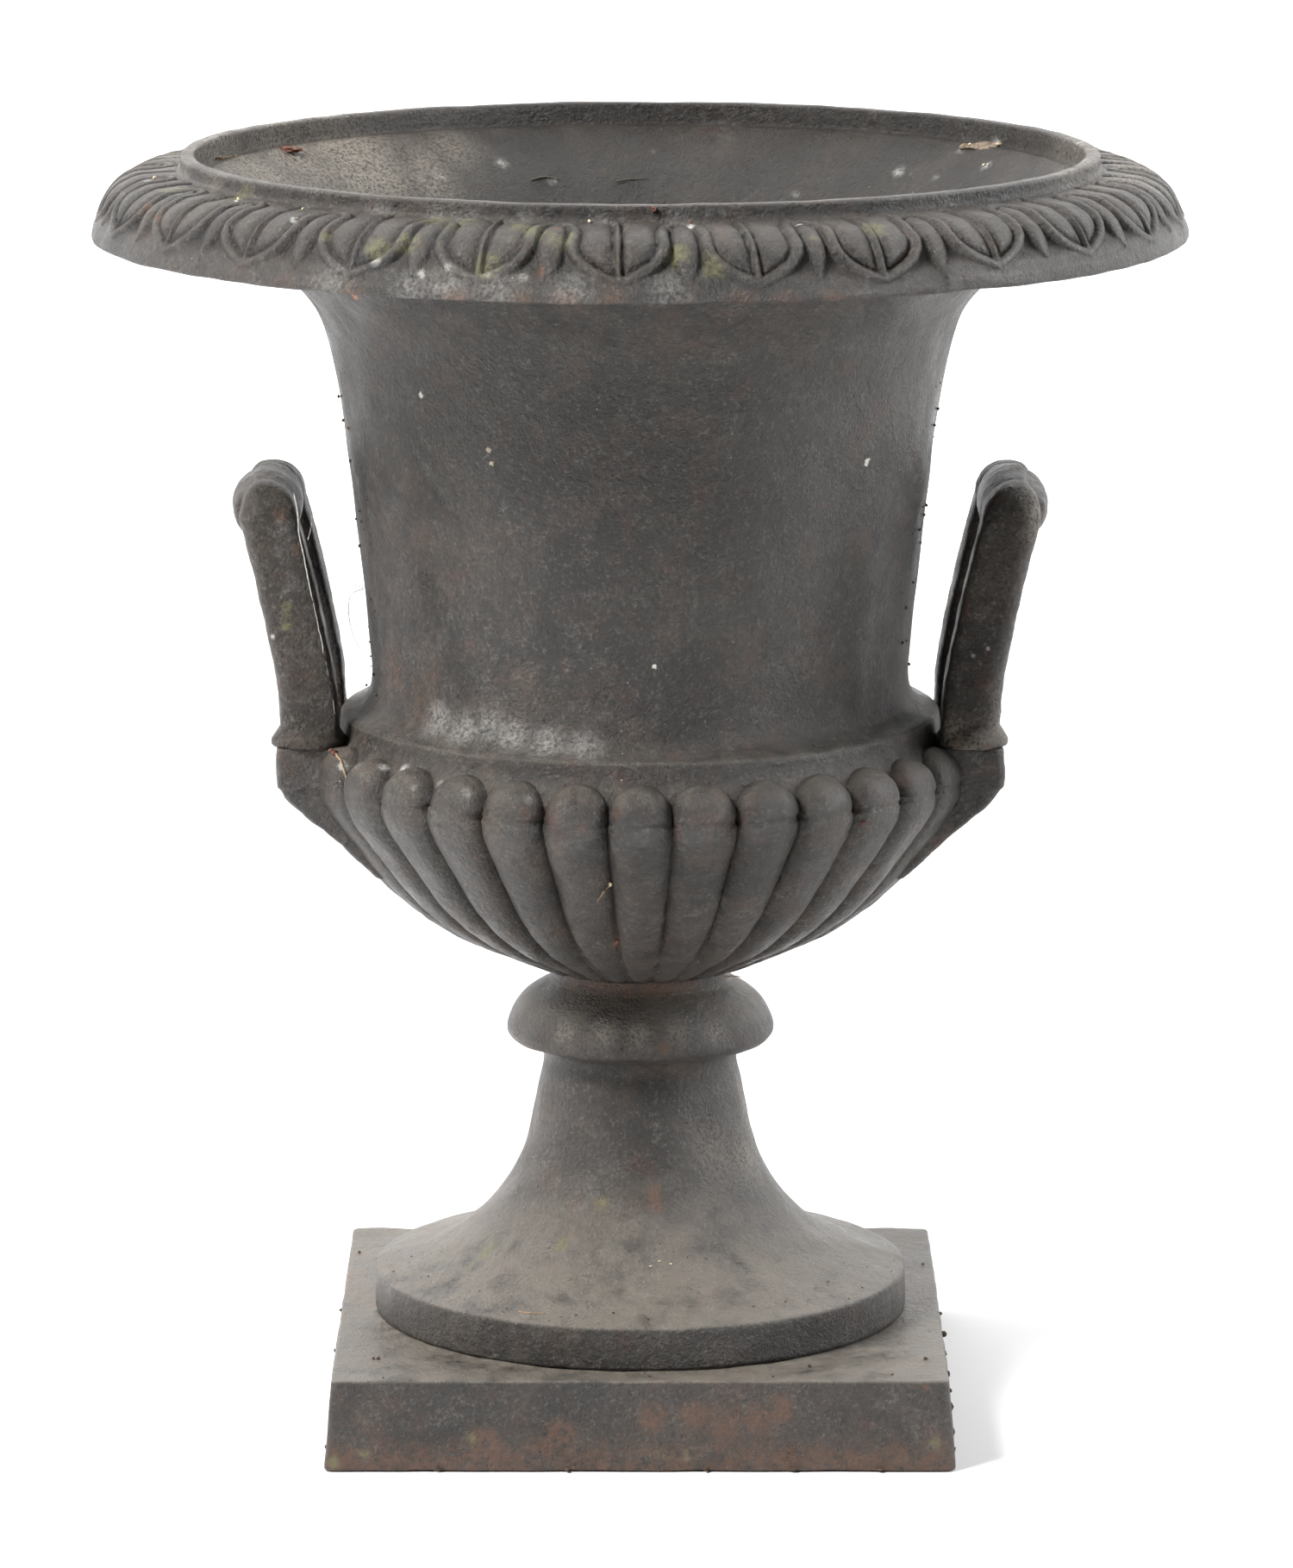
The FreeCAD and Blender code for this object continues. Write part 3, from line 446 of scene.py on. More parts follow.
class Bench:
    """Lays out the nodes of one finish."""

    def __init__(self, name: str) -> None:
        """Starts an empty finish.

        Args:
            name: The finish's name.
        """
        self.material = bpy.data.materials.new(name)
        self.material.use_nodes = True
        self.tree = self.material.node_tree
        self.surface = self.tree.nodes["Principled BSDF"]
        self.place = self.node("ShaderNodeTexCoord").outputs["Object"]

    def node(self, kind: str) -> bpy.types.Node:
        """Adds a node of a kind."""
        return self.tree.nodes.new(kind)

    def feed(self, socket: Socket, value: object) -> None:
        """Sets a socket to a number or colour, or links it to another socket."""
        if isinstance(value, bpy.types.NodeSocket):
            self.tree.links.new(value, socket)
        elif isinstance(value, tuple) and len(value) == 3:
            socket.default_value = (*value, 1.0)
        else:
            socket.default_value = value

    def cloud(self, cloud: Cloud) -> Socket:
        """The strength of a pattern of clouds, about 0.5 on average."""
        noise = self.node("ShaderNodeTexNoise")
        noise.inputs["Scale"].default_value = 1 / (cloud.size * MILLIMETRE)
        noise.inputs["Detail"].default_value = cloud.detail
        noise.inputs["Roughness"].default_value = cloud.rough
        noise.inputs["Distortion"].default_value = cloud.bend
        self.feed(noise.inputs["Vector"], self.place)
        return noise.outputs["Fac"]

    def dots(self, size: float, radius: float) -> Socket:
        """Scattered dots, 1 in their middle and 0 outside.

        Args:
            size: The usual distance from one to the next in millimetres.
            radius: Their radius as a share of that distance.

        Returns:
            The strength of the dots.
        """
        cells = self.node("ShaderNodeTexVoronoi")
        cells.inputs["Scale"].default_value = 1 / (size * MILLIMETRE)
        self.feed(cells.inputs["Vector"], self.place)
        return self.rise(cells.outputs["Distance"], radius, radius * 0.35)

    def spot(self, place: Place, reach: float) -> Socket:
        """One ragged spot about a place, 1 inside and 0 outside.

        Args:
            place: Its middle in millimetres.
            reach: Its radius.

        Returns:
            The strength of the spot.
        """
        gap = self.node("ShaderNodeVectorMath")
        gap.operation = "DISTANCE"
        self.feed(gap.inputs[0], self.place)
        gap.inputs[1].default_value = [value * MILLIMETRE for value in place]
        ragged = self.node("ShaderNodeMath")
        ragged.operation = "MULTIPLY_ADD"
        self.feed(ragged.inputs[0], self.cloud(Cloud(reach * 0.9, 3.0)))
        ragged.inputs[1].default_value = reach * 2.2 * MILLIMETRE
        self.feed(ragged.inputs[2], gap.outputs["Value"])
        outer, inner = reach * 2.15 * MILLIMETRE, reach * 1.85 * MILLIMETRE
        return self.rise(ragged.outputs["Value"], outer, inner)

    def ranged(self, value: Socket, low: float, high: float) -> bpy.types.Node:
        """Adds a node that spreads the strengths from low to high."""
        ranged = self.node("ShaderNodeMapRange")
        self.feed(ranged.inputs["Value"], value)
        ranged.inputs["From Min"].default_value = low
        ranged.inputs["From Max"].default_value = high
        return ranged

    def rise(self, value: Socket, low: float, high: float) -> Socket:
        """Turns a strength into 0 at low and 1 at high, smoothly."""
        ranged = self.ranged(value, low, high)
        ranged.interpolation_type = "SMOOTHSTEP"
        return ranged.outputs["Result"]

    def sum(self, operation: str, first: object, second: object) -> Socket:
        """Combines two strengths by a named operation, held between 0 and 1."""
        maths = self.node("ShaderNodeMath")
        maths.operation = operation
        maths.use_clamp = True
        self.feed(maths.inputs[0], first)
        self.feed(maths.inputs[1], second)
        return maths.outputs["Value"]

    def times(self, first: object, second: object) -> Socket:
        """One strength weakened by another."""
        return self.sum("MULTIPLY", first, second)

    def blend(self, share: object, under: object, over: object) -> Socket:
        """Lays one colour over another.

        Args:
            share: How much of the upper colour shows.
            under: The colour below.
            over: The colour above.

        Returns:
            The mixed colour.
        """
        mix = self.node("ShaderNodeMix")
        mix.data_type = "RGBA"
        self.feed(mix.inputs["Factor"], share)
        self.feed(mix.inputs["A"], under)
        self.feed(mix.inputs["B"], over)
        return mix.outputs["Result"]

    def veil(self, under: object, over: object, mask: Socket, strength: object) -> Socket:
        """Lays one colour over another through a mask, no stronger than a strength."""
        return self.blend(self.times(mask, strength), under, over)

    def layer(self, name: str) -> Socket:
        """Reads one layer that was painted on the piece."""
        attribute = self.node("ShaderNodeAttribute")
        attribute.attribute_name = name
        return attribute.outputs["Fac"]

    def upward(self) -> Socket:
        """How far the surface faces the sky."""
        split = self.node("ShaderNodeSeparateXYZ")
        self.feed(split.inputs["Vector"], self.node("ShaderNodeNewGeometry").outputs["Normal"])
        return split.outputs["Z"]

    def bump(self, height: Socket, depth: float, under: Socket | None = None) -> Socket:
        """Raises the surface by a strength.

        Args:
            height: The strength.
            depth: The height in millimetres where it is 1.
            under: A coarser relief that it lies on.

        Returns:
            The bent normal.
        """
        relief = self.node("ShaderNodeBump")
        relief.inputs["Strength"].default_value = 1.0
        relief.inputs["Distance"].default_value = depth * MILLIMETRE
        self.feed(relief.inputs["Height"], height)
        if under is not None:
            self.feed(relief.inputs["Normal"], under)
        return relief.outputs["Normal"]


@dataclass(frozen=True)
class Spot:
    """A small crisp spot on the iron, such as a chip or a deep pit.

    Attributes:
        place: Its middle.
        reach: Its radius.
        colour: Its colour.
    """

    place: Place
    reach: float
    colour: Colour


CHALK: Colour = (0.72, 0.70, 0.64)
SAND: Colour = (0.52, 0.44, 0.32)
ORANGE: Colour = (0.42, 0.15, 0.05)
RED_RUST: Colour = (0.16, 0.040, 0.018)
SOOT: Colour = (0.014, 0.012, 0.011)


@dataclass(frozen=True)
class WeatheredIron:
    """Old cast iron that has stood outside: grey-brown, rough and a little glossy.

    Attributes:
        name: The finish's name.
        iron: Its main colour.
        dark: The colour of its darker clouds, and of the shade painted in its hollows.
        pale: The colour of its bloom.
        brown: The colour of its brown clouds.
        rust: The colour of bright rust.
        dust: The colour of dust and sand.
        lime: The colour of lime bloom, and of painted sheen.
        moss: The colour of lichen.
        grain: How deep the casting grain is.
        lumps: How deep the coarser unevenness is.
        roughness: How dull it is.
        sheen: How strongly it mirrors what is straight in front of it.
        dusty: How much dust lies on its upper faces.
        rusty: How much rust shows everywhere.
        spots: Chips and pits, given one by one.
    """

    name: str
    iron: Colour = (0.042, 0.0335, 0.0262)
    dark: Colour = (0.015, 0.0118, 0.0092)
    pale: Colour = (0.170, 0.153, 0.132)
    brown: Colour = (0.066, 0.044, 0.030)
    rust: Colour = (0.125, 0.058, 0.029)
    dust: Colour = (0.300, 0.262, 0.212)
    lime: Colour = (0.480, 0.470, 0.440)
    moss: Colour = (0.150, 0.140, 0.062)
    grain: float = 1.5
    lumps: float = 4.4
    roughness: float = 0.38
    sheen: float = 0.62
    dusty: float = 0.35
    rusty: float = 0.25
    spots: tuple[Spot, ...] = ()

    def make(self) -> bpy.types.Material:
        """Lays the finish out as a material."""
        bench = Bench(self.name)
        grain = bench.cloud(Cloud(1.9, 4.0, 0.7))
        worn = bench.cloud(Cloud(6.0, 8.0, 0.70, 0.25))
        clouds = bench.cloud(Cloud(22.0, 6.0, 0.65))
        patches = bench.cloud(Cloud(70.0, 4.0, 0.55, 0.4))
        colour = bench.blend(bench.rise(patches, 0.34, 0.66), self.dark, self.iron)
        colour = self._skin(bench, colour, worn)
        colour = self._weather(bench, colour, grain, clouds)
        pits = bench.times(bench.dots(5.0, 0.17), bench.rise(patches, 0.50, 0.60))
        holes = bench.sum("MAXIMUM", pits, self._cracks(bench))
        colour = bench.veil(colour, SOOT, holes, 0.8)
        for spot in self.spots:
            colour = bench.blend(bench.spot(spot.place, spot.reach), colour, spot.colour)
        dullness = bench.ranged(clouds, 0.3, 0.7)
        dullness.inputs["To Min"].default_value = self.roughness - 0.14
        dullness.inputs["To Max"].default_value = self.roughness + 0.16
        bench.feed(bench.surface.inputs["Base Color"], colour)
        bench.feed(bench.surface.inputs["Roughness"], dullness.outputs["Result"])
        bench.surface.inputs["Specular IOR Level"].default_value = self.sheen
        sunk = bench.bump(bench.sum("SUBTRACT", 1.0, holes), 0.5, bench.bump(worn, self.lumps))
        bench.feed(bench.surface.inputs["Normal"], bench.bump(grain, self.grain, sunk))
        return bench.material

    def _skin(self, bench: Bench, colour: Socket, worn: Socket) -> Socket:
        """Lays bloom, brown clouds, dark dips and rubbed tips on the sandy skin.

        Args:
            bench: The finish that is laid out.
            colour: The colour of the iron.
            worn: Its small clouds.

        Returns:
            The colour with them.
        """
        bloom = bench.times(bench.rise(bench.cloud(Cloud(11.0, 6.0, 0.7, 0.3)), 0.46, 0.70),
                            bench.rise(bench.cloud(Cloud(1.6, 3.0, 0.65)), 0.40, 0.66))
        colour = bench.veil(colour, self.pale, bloom, 0.62)
        brown = bench.rise(bench.cloud(Cloud(30.0, 6.0, 0.62)), 0.50, 0.68)
        colour = bench.veil(colour, self.brown, brown, 0.55)
        colour = bench.veil(colour, self.dark, bench.rise(worn, 0.50, 0.30), 0.60)
        sand = bench.cloud(Cloud(2.4, 3.0, 0.6))
        colour = bench.veil(colour, self.dark, bench.rise(sand, 0.49, 0.35), 0.75)
        colour = bench.veil(colour, self.pale, bench.rise(sand, 0.56, 0.72), 0.42)
        red = bench.rise(bench.cloud(Cloud(17.0, 4.0, 0.6, 0.4)), 0.56, 0.70)
        colour = bench.veil(colour, RED_RUST, red, 0.13)
        return bench.veil(colour, self.dust, bench.dots(8.0, 0.070), 0.45)

    @staticmethod
    def _cracks(bench: Bench) -> Socket:
        """The strength of short bent hairlines in the skin of the casting."""
        course = bench.cloud(Cloud(16.0, 3.0, 0.5, 0.8))
        line = bench.times(bench.rise(course, 0.486, 0.497), bench.rise(course, 0.508, 0.497))
        return bench.times(line, bench.rise(bench.cloud(Cloud(12.0, 2.0)), 0.58, 0.64))

    def _weather(self, bench: Bench, colour: Socket, grain: Socket, clouds: Socket) -> Socket:
        """Lays rust, dust and lichen over the iron, lime with painted sheen, and painted shade in
        its hollows and at the back of the bell's inside.

        Args:
            bench: The finish that is laid out.
            colour: The colour of the iron.
            grain: Its fine grain.
            clouds: Its middling clouds.

        Returns:
            The colour with all of them.
        """
        spots = bench.cloud(Cloud(14.0, 5.0, 0.7, 0.6))
        fine = bench.cloud(Cloud(3.6, 4.0, 0.65, 0.3))
        rust = bench.times(bench.rise(spots, 0.60, 0.78), self.rusty)
        marked = bench.times(self._ragged(bench, Stain.RUST, fine, spots), 0.75)
        colour = bench.blend(bench.sum("MAXIMUM", rust, marked), colour, self.rust)
        up = bench.times(bench.rise(bench.upward(), 0.25, 0.95), self.dusty)
        up = bench.times(up, bench.rise(bench.sum("ADD", clouds, 0.08), 0.30, 0.66))
        laid = bench.times(bench.layer(Stain.DUST.value), bench.rise(grain, 0.38, 0.56))
        colour = bench.blend(bench.sum("MAXIMUM", up, laid), colour, self.dust)
        # Painted shade: the carved recesses of the rim, the valleys between the lobes and the
        # back of the bell's inside are darkened.
        hollow = bench.times(bench.layer("hollow"), 0.85)
        grime = bench.times(bench.sum("MAXIMUM", bench.layer(Stain.GRIME.value), hollow),
                            bench.rise(clouds, 0.20, 0.5))
        colour = bench.veil(colour, self.dark, grime, 0.85)
        # Lime bloom, and pale patches that paint in sheen on the rim's border and on the bell's
        # foot.
        colour = bench.blend(self._ragged(bench, Stain.LIME, grain, fine), colour, self.lime)
        moss = self._ragged(bench, Stain.MOSS, fine, spots)
        colour = bench.veil(colour, self.moss, moss, 0.8)
        return bench.veil(colour, self.lime, bench.dots(13.0, 0.040),
                          bench.rise(bench.cloud(Cloud(90.0, 1.0)), 0.40, 0.56))

    @staticmethod
    def _ragged(bench: Bench, stain: Stain, fine: Socket, coarse: Socket) -> Socket:
        """Breaks a painted stain up, most where it is thin.

        Args:
            bench: The finish that is laid out.
            stain: The stain.
            fine: Small clouds.
            coarse: Larger clouds.

        Returns:
            What is left of the stain.
        """
        both = bench.sum("ADD", bench.times(fine, 0.55), bench.times(coarse, 0.45))
        whole = bench.times(bench.layer(stain.value), bench.sum("ADD", both, 0.30))
        return bench.times(bench.rise(whole, 0.16, 0.62), bench.rise(both, 0.36, 0.56))


def mount(piece: Piece, node: str, finish: bpy.types.Material) -> None:
    """Gives a piece its finish and its place in the urn.

    Args:
        piece: The piece.
        node: The solid that it stands for.
        finish: The finish.
    """
    piece.data.materials.clear()
    piece.data.materials.append(finish)
    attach(piece, BODY)
    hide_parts(node)
    LOG.info("%s: %d faces", piece.name, len(piece.data.polygons))


# The urn


class Casting:
    """One casting of the urn, made of one or more pieces."""

    def build(self) -> list[Piece]:
        """Makes its pieces."""
        raise NotImplementedError

    def marks(self) -> list[Mark]:
        """What the weather has left on it, and any shade or sheen painted on it."""
        raise NotImplementedError

    def dress(self, node: str, slot: str, finish: bpy.types.Material) -> None:
        """Makes its pieces, stains them and sets them in the urn.

        Args:
            node: The solid that they stand for.
            slot: The finish's name; it is not used.
            finish: The finish.
        """
        for piece in self.build():
            stained(piece, self.marks())
            mount(piece, node, finish)


@dataclass
class Bell(Casting):
    """The bell of the urn, with its lip, leaf-moulded rolled rim and foot.

    Attributes:
        columns: How many points go round the wall.
        wall: Its outline: lip, quirk, core, flare, foot, seat, inside and ledge.
        moulding_steps: How many rows of points go down the face of the rolled rim.
        moulding: The face of the rolled rim, from its groove down.
        roll: The rest of its outline: lower edge, underside and back.
        leaf_count: How many leaves go round it.
        leaf_columns: How many points go round each leaf.
        leaf_turn: How far the leaves are turned from the front, in degrees.
        leaf_pitch: The distance from one leaf to the next.
        leaf_length: How far a leaf reaches down from the groove.
        leaf_depth: How deep the ground between the leaves is.
        cord: The line of the cord round half a leaf, as distances across and down.
        cord_half: Half the width of the cord.
        rib_half: Half the width of the rib in the middle of a leaf.
        field_round: How far the fields of a leaf take to round up from their edges.
        tongue_half: Half the width of the tongue between two leaves.
        tongue_shoulder: How far down the tongue begins to narrow.
        chips: Chips and deep pits in the wall.
    """

    columns: int = 360
    wall: tuple[Run, ...] = (
        Run(8, ((243.5, 698.9), (244.2, 700.2), (245.8, 700.6), (249.2, 700.6), (250.8, 700.1),
                (251.5, 698.8))),
        Run(6, ((251.5, 698.8), (251.5, 694.6), (252.2, 692.6), (254, 691.6))),
        Run(3, ((254, 691.6), (258, 686.5), (254.5, 681.2)), False),
        Run(96, ((254.5, 681.2), (250, 679), (240, 672.8), (228, 664), (215, 653.6), (203, 643),
                 (191.5, 631.6), (182.5, 621.7), (177, 612.8), (173.2, 602.5), (170.4, 592),
                 (165.8, 569), (162.4, 545), (159.6, 521), (156.9, 497), (154.2, 473),
                 (151.5, 449), (149.6, 426), (148.8, 414), (149.4, 405), (150.9, 400.2),
                 (153.8, 396.3), (159, 393.2))),
        Run(22, ((159, 393.2), (161.8, 392.1), (163.4, 391.5), (164.3, 390.9), (164.9, 390.2),
                 (165, 389.4), (164.4, 388.4), (163.8, 387.4), (163.6, 384.6), (158, 384))),
        Run(9, ((158, 384), (118, 384), (118, 392), (140.1, 392)), False),
        Run(44, ((140.1, 392), (140.4, 415), (143.5, 449), (148.9, 497), (154.4, 545),
                 (157.8, 569), (163.5, 598), (171, 617), (184, 640), (201.7, 660),
                 (217.6, 674), (231.7, 684), (237.3, 687.4))),
        Run(8, ((237.3, 687.4), (243.2, 687.6), (243.5, 688.2), (243.5, 698.9)), False))
    moulding_steps: int = 84
    moulding: Outline = (
        (253.6, 692.2), (258, 692.3), (263, 692), (268, 691.5), (273.5, 690.9), (278, 689.6),
        (286, 685.4), (292, 679.2), (296.5, 671), (299.5, 663.8), (300.5, 657.2))
    roll: tuple[Run, ...] = (
        Run(6, ((300.5, 657.2), (300.2, 655.6), (298.8, 654.9), (296.4, 655), (294.6, 656.6))),
        Run(12, ((294.6, 656.6), (292.4, 664.4), (286.6, 673), (278.5, 679), (270, 682),
                 (262, 682.4), (254, 683.6))),
        Run(3, ((254, 683.6), (251.6, 687), (253.6, 692.2))))
    leaf_count: int = 26
    leaf_columns: int = 76
    leaf_turn: float = -2.4
    leaf_pitch: float = 66.0
    leaf_length: float = 57.0
    leaf_depth: float = 4.7
    cord: Outline = (
        (33, 4.4), (29.6, 5), (26.2, 7.6), (23.7, 12), (22.4, 19), (22.4, 27), (22.8, 34),
        (21.2, 41), (17.4, 47), (12, 51.4), (6, 54.8), (0, 57.6))
    cord_half: float = 3.5
    rib_half: float = 2.0
    field_round: float = 5.6
    tongue_half: float = 6.0
    tongue_shoulder: float = 36.0
    chips: tuple[Spot, ...] = (
        Spot((-116.8, -121.0, 582.4), 2.0, CHALK), Spot((-80.6, -142.5, 556.3), 1.6, SAND),
        Spot((-79.2, -142.3, 548.9), 1.5, SAND), Spot((-151.9, -122.6, 635.5), 2.6, ORANGE),
        Spot((122.1, -106.5, 544.3), 2.3, CHALK), Spot((122.0, -118.1, 589.9), 3.2, SOOT),
        Spot((84.6, -147.2, 590.4), 2.6, SOOT), Spot((95.4, -137.5, 578.8), 3.0, SOOT),
        Spot((68.5, -153.3, 580.6), 2.6, SOOT), Spot((7.6, -150.3, 440.6), 1.4, CHALK))

    def build(self) -> list[Piece]:
        """Makes the wall and the rolled rim."""
        wall = turned("bell_wall", self.wall, self.columns)
        Swell(0.28, 34.0, 11).lay(wall)
        return [wall, self._rim()]

    def _rim(self) -> Piece:
        """The rolled rim: an ovolo carved with leaves and tongues."""
        face = Run(self.moulding_steps, self.moulding)
        length = np.linalg.norm(np.diff(face.drawn(), axis=0), axis=1).sum()
        carving = self._carving(np.linspace(0, length, self.moulding_steps + 1)[:-1])
        plain = sum(run.steps for run in self.roll)
        carving = np.pad(carving, ((0, plain), (0, 0)))
        rim = turned("bell_rolled_rim", (face, *self.roll), carving.shape[1], carving)
        Swell(0.35, 26.0, 12).lay(rim)
        # Painted shade: the deeper a point of the rim is carved, the darker its finish paints it.
        painted(rim, "hollow", np.clip(-carving / self.leaf_depth, 0, 1))
        return rim

    def _carving(self, down: np.ndarray) -> np.ndarray:
        """How deep the leaves are cut at each row of the moulding, all the way round.

        Args:
            down: How far each row lies below the groove.

        Returns:
            Depths below the moulding, a row for each mark, at most 0.
        """
        draw = np.random.default_rng(26)
        turn = self.leaf_turn / 360 * self.leaf_count * self.leaf_columns
        around = (np.arange(self.leaf_count * self.leaf_columns) - turn) / self.leaf_columns
        leaf = np.round(around).astype(int) % self.leaf_count
        lean = draw.normal(0, 0.012, self.leaf_count)
        wear = draw.uniform(0.78, 1.08, self.leaf_count)
        drop = draw.normal(0, 0.7, self.leaf_count)
        rows = []
        for low in down:
            share = low / self.leaf_length
            across = around - np.round(around) + lean[leaf] * share
            rows.append(self._leaf(across, low + drop[leaf] * share) * wear[leaf])
        return np.array(rows)

    def _leaf(self, across: np.ndarray, down: np.ndarray) -> np.ndarray:
        """The cut of one leaf and of half the tongue on each side of it.

        Args:
            across: Where a point lies across the leaf, from -0.5 to 0.5.
            down: How far it lies below the groove.

        Returns:
            Its depth below the moulding.
        """
        wide = across * self.leaf_pitch
        half = np.abs(wide)
        path = np.array(self.cord, dtype=float)
        gap = self._distance(half, down, path)
        inside = half < np.interp(down, path[:, 1], path[:, 0], right=0.0)
        floor = -self.leaf_depth
        border = -1.5 * (1 - soft_step(down, 58, 65))
        ground = self._raised(border, soft_step(down, 44.0, self.leaf_length))
        ground = np.where(inside, floor, ground)
        ground = np.where(down > 58.5, border, ground)
        cord = self._raised(-0.2, dome(gap, self.cord_half) ** 0.8)
        rib_gap = wide + 0.6 - 0.02 * down
        rib_gap = np.where(rib_gap < 0, -rib_gap * 0.8, rib_gap * 1.15)
        rib = self._raised(-0.3, dome(rib_gap, self.rib_half))
        rib = np.where(inside & (down < self.leaf_length), rib, floor)
        edge = np.minimum(gap - self.cord_half + 0.1, rib_gap - self.rib_half)
        bulge = dome(self.field_round - np.clip(edge, 0, self.field_round), self.field_round)
        lobe = np.where(inside & (edge > 0), -4.6 + 4.0 * bulge, floor)
        narrowing = np.maximum(down, self.tongue_shoulder) - self.tongue_shoulder
        taper = dome(narrowing, self.leaf_length - self.tongue_shoulder)
        reach = self.tongue_half * taper * soft_step(down, 8.0, 12.0)
        ridge = dome(self.leaf_pitch / 2 - half, np.maximum(reach, 0.01)) ** 0.85
        tongue = np.where(~inside & (reach > 0.3), self._raised(-0.7, ridge), floor)
        depth = np.maximum.reduce([ground, cord, rib, lobe, tongue])
        return np.minimum(depth, 0.0) * soft_step(down, -0.5, 1.2)

    def _raised(self, top: float | np.ndarray, share: np.ndarray) -> np.ndarray:
        """The level that is a share of the way from the ground of the leaves to a top."""
        return -self.leaf_depth + (top + self.leaf_depth) * share

    @staticmethod
    def _distance(across: np.ndarray, down: np.ndarray, path: np.ndarray) -> np.ndarray:
        """How far points lie from a path of straight runs."""
        spots = np.stack([across, down], axis=1)
        best = np.full(len(spots), np.inf)
        for start, stop in zip(path, path[1:]):
            run = stop - start
            share = np.clip(((spots - start) @ run) / (run @ run), 0, 1)
            best = np.minimum(best, np.linalg.norm(spots - start - share[:, None] * run, axis=1))
        return best

    def marks(self) -> list[Mark]:
        """What the weather has left on the bell and its rim, and the shade and sheen painted on
        them.
        """
        return [
            near(Stain.DUST, 46.0, 1.0, (-212, 75, 680), (-198, 125, 685), (-158, 145, 672),
                 (-230, 60, 688), (-167, 158, 682), (-225, 20, 680), (-175, 90, 655)),
            near(Stain.DUST, 22.0, 0.7, (-122, 178, 672), (-119, 165, 662), (-106, 198, 679)),
            # Painted shade on the inside of the bell, at the back.
            near(Stain.GRIME, 60.0, 0.95, (0, 200, 660), (60, 190, 657), (125, 165, 665),
                 (-45, 195, 662), (180, 110, 675), (200, 40, 680), (90, 205, 680),
                 (0, 222, 682), (-60, 215, 680), (150, 175, 682)),
            near(Stain.DUST, 30.0, 0.8, (243, 38, 700), (247, 0, 700), (238, -50, 700),
                 (222, -95, 700), (246, 60, 700), (262, -50, 692), (268, 10, 692)),
            near(Stain.DUST, 16.0, 0.5, (-246, 10, 700), (-240, -50, 700), (-220, -105, 700)),
            near(Stain.LIME, 7.0, 0.65, (183, 146, 685), (194, 139, 687), (202, 137, 688),
                 (147, 156, 671), (194, 112, 678), (-80, 199, 671), (-115, 175, 667)),
            near(Stain.LIME, 6.0, 0.5, (166, 132, 669), (89, 177, 656), (-51, 196, 660),
                 (7, 216, 676), (-100, 178, 668), (-125, 165, 664), (155, 150, 672)),
            near(Stain.LIME, 3.4, 0.9, (-266, -55, 690), (-212, -154, 691), (-180, -211, 688),
                 (26, -262, 691), (82, -252, 691), (240, -50, 700), (243, 38, 700)),
            near(Stain.RUST, 7.0, 0.8, (-122, 178, 672), (50, 217, 677), (109, 194, 677),
                 (159, 148, 673), (-106, 198, 679), (-262, -115, 683), (-253, -138, 680),
                 (-42, -268, 690), (-52, -292, 672)),
            near(Stain.RUST, 14.0, 0.62, (-38, -298, 655), (-62, -294, 655), (-15, -300, 655),
                 (-150, -261, 655), (-95, -285, 655), (52, -296, 655), (75, -291, 655),
                 (100, -283, 655), (-185, -237, 655)),
            near(Stain.RUST, 4.0, 1.0, (82, -233, 700.5), (88, -231, 700.5), (94, -229, 700.5),
                 (-152, -122, 636)),
            near(Stain.RUST, 30.0, 0.50, (-120, -92, 412), (-135, -65, 425)),
            near(Stain.MOSS, 10.0, 0.95, (-106, -238, 691), (-91, -245, 692),
                 (-211, -142, 692), (-250, -99, 690), (-96, -252, 690), (-60, -262, 690),
                 (37, -289, 673), (-78, -283, 673), (-120, -262, 684), (-40, -278, 685),
                 (120, -250, 688), (-52, -270, 688), (20, -286, 678), (-135, -258, 680)),
            near(Stain.MOSS, 5.0, 0.8, (-8, -268, 691), (50, -268, 690), (-163, -236, 682),
                 (30, 212, 676), (-20, 205, 668), (90, -268, 684)),
            # Painted sheen: pale patches where the bell's foot catches the light at the front
            # left.
            near(Stain.LIME, 24.0, 0.42, (-96, -119, 399), (-70, -136, 399), (-84, -130, 405),
                 (-110, -104, 402), (-50, -146, 397), (-30, -152, 396)),
            # Painted highlight along the front of the rim's border.
            near(Stain.LIME, 30.0, 0.36, (-118, -278, 660), (-75, -290, 661), (-35, -297, 661),
                 (-160, -254, 660), (15, -299, 661), (-100, -283, 663)),
            near(Stain.LIME, 5.0, 0.6, (-99, -279, 672), (-79, -287, 670), (-60, -291, 669),
                 (-128, -268, 671), (-112, -274, 668), (-136, -262, 673)),
            near(Stain.LIME, 17.0, 0.36, (-106, -231, 692), (-60, -248, 692), (-20, -254, 692),
                 (-135, -213, 692), (-90, -238, 692), (20, -254, 692))]


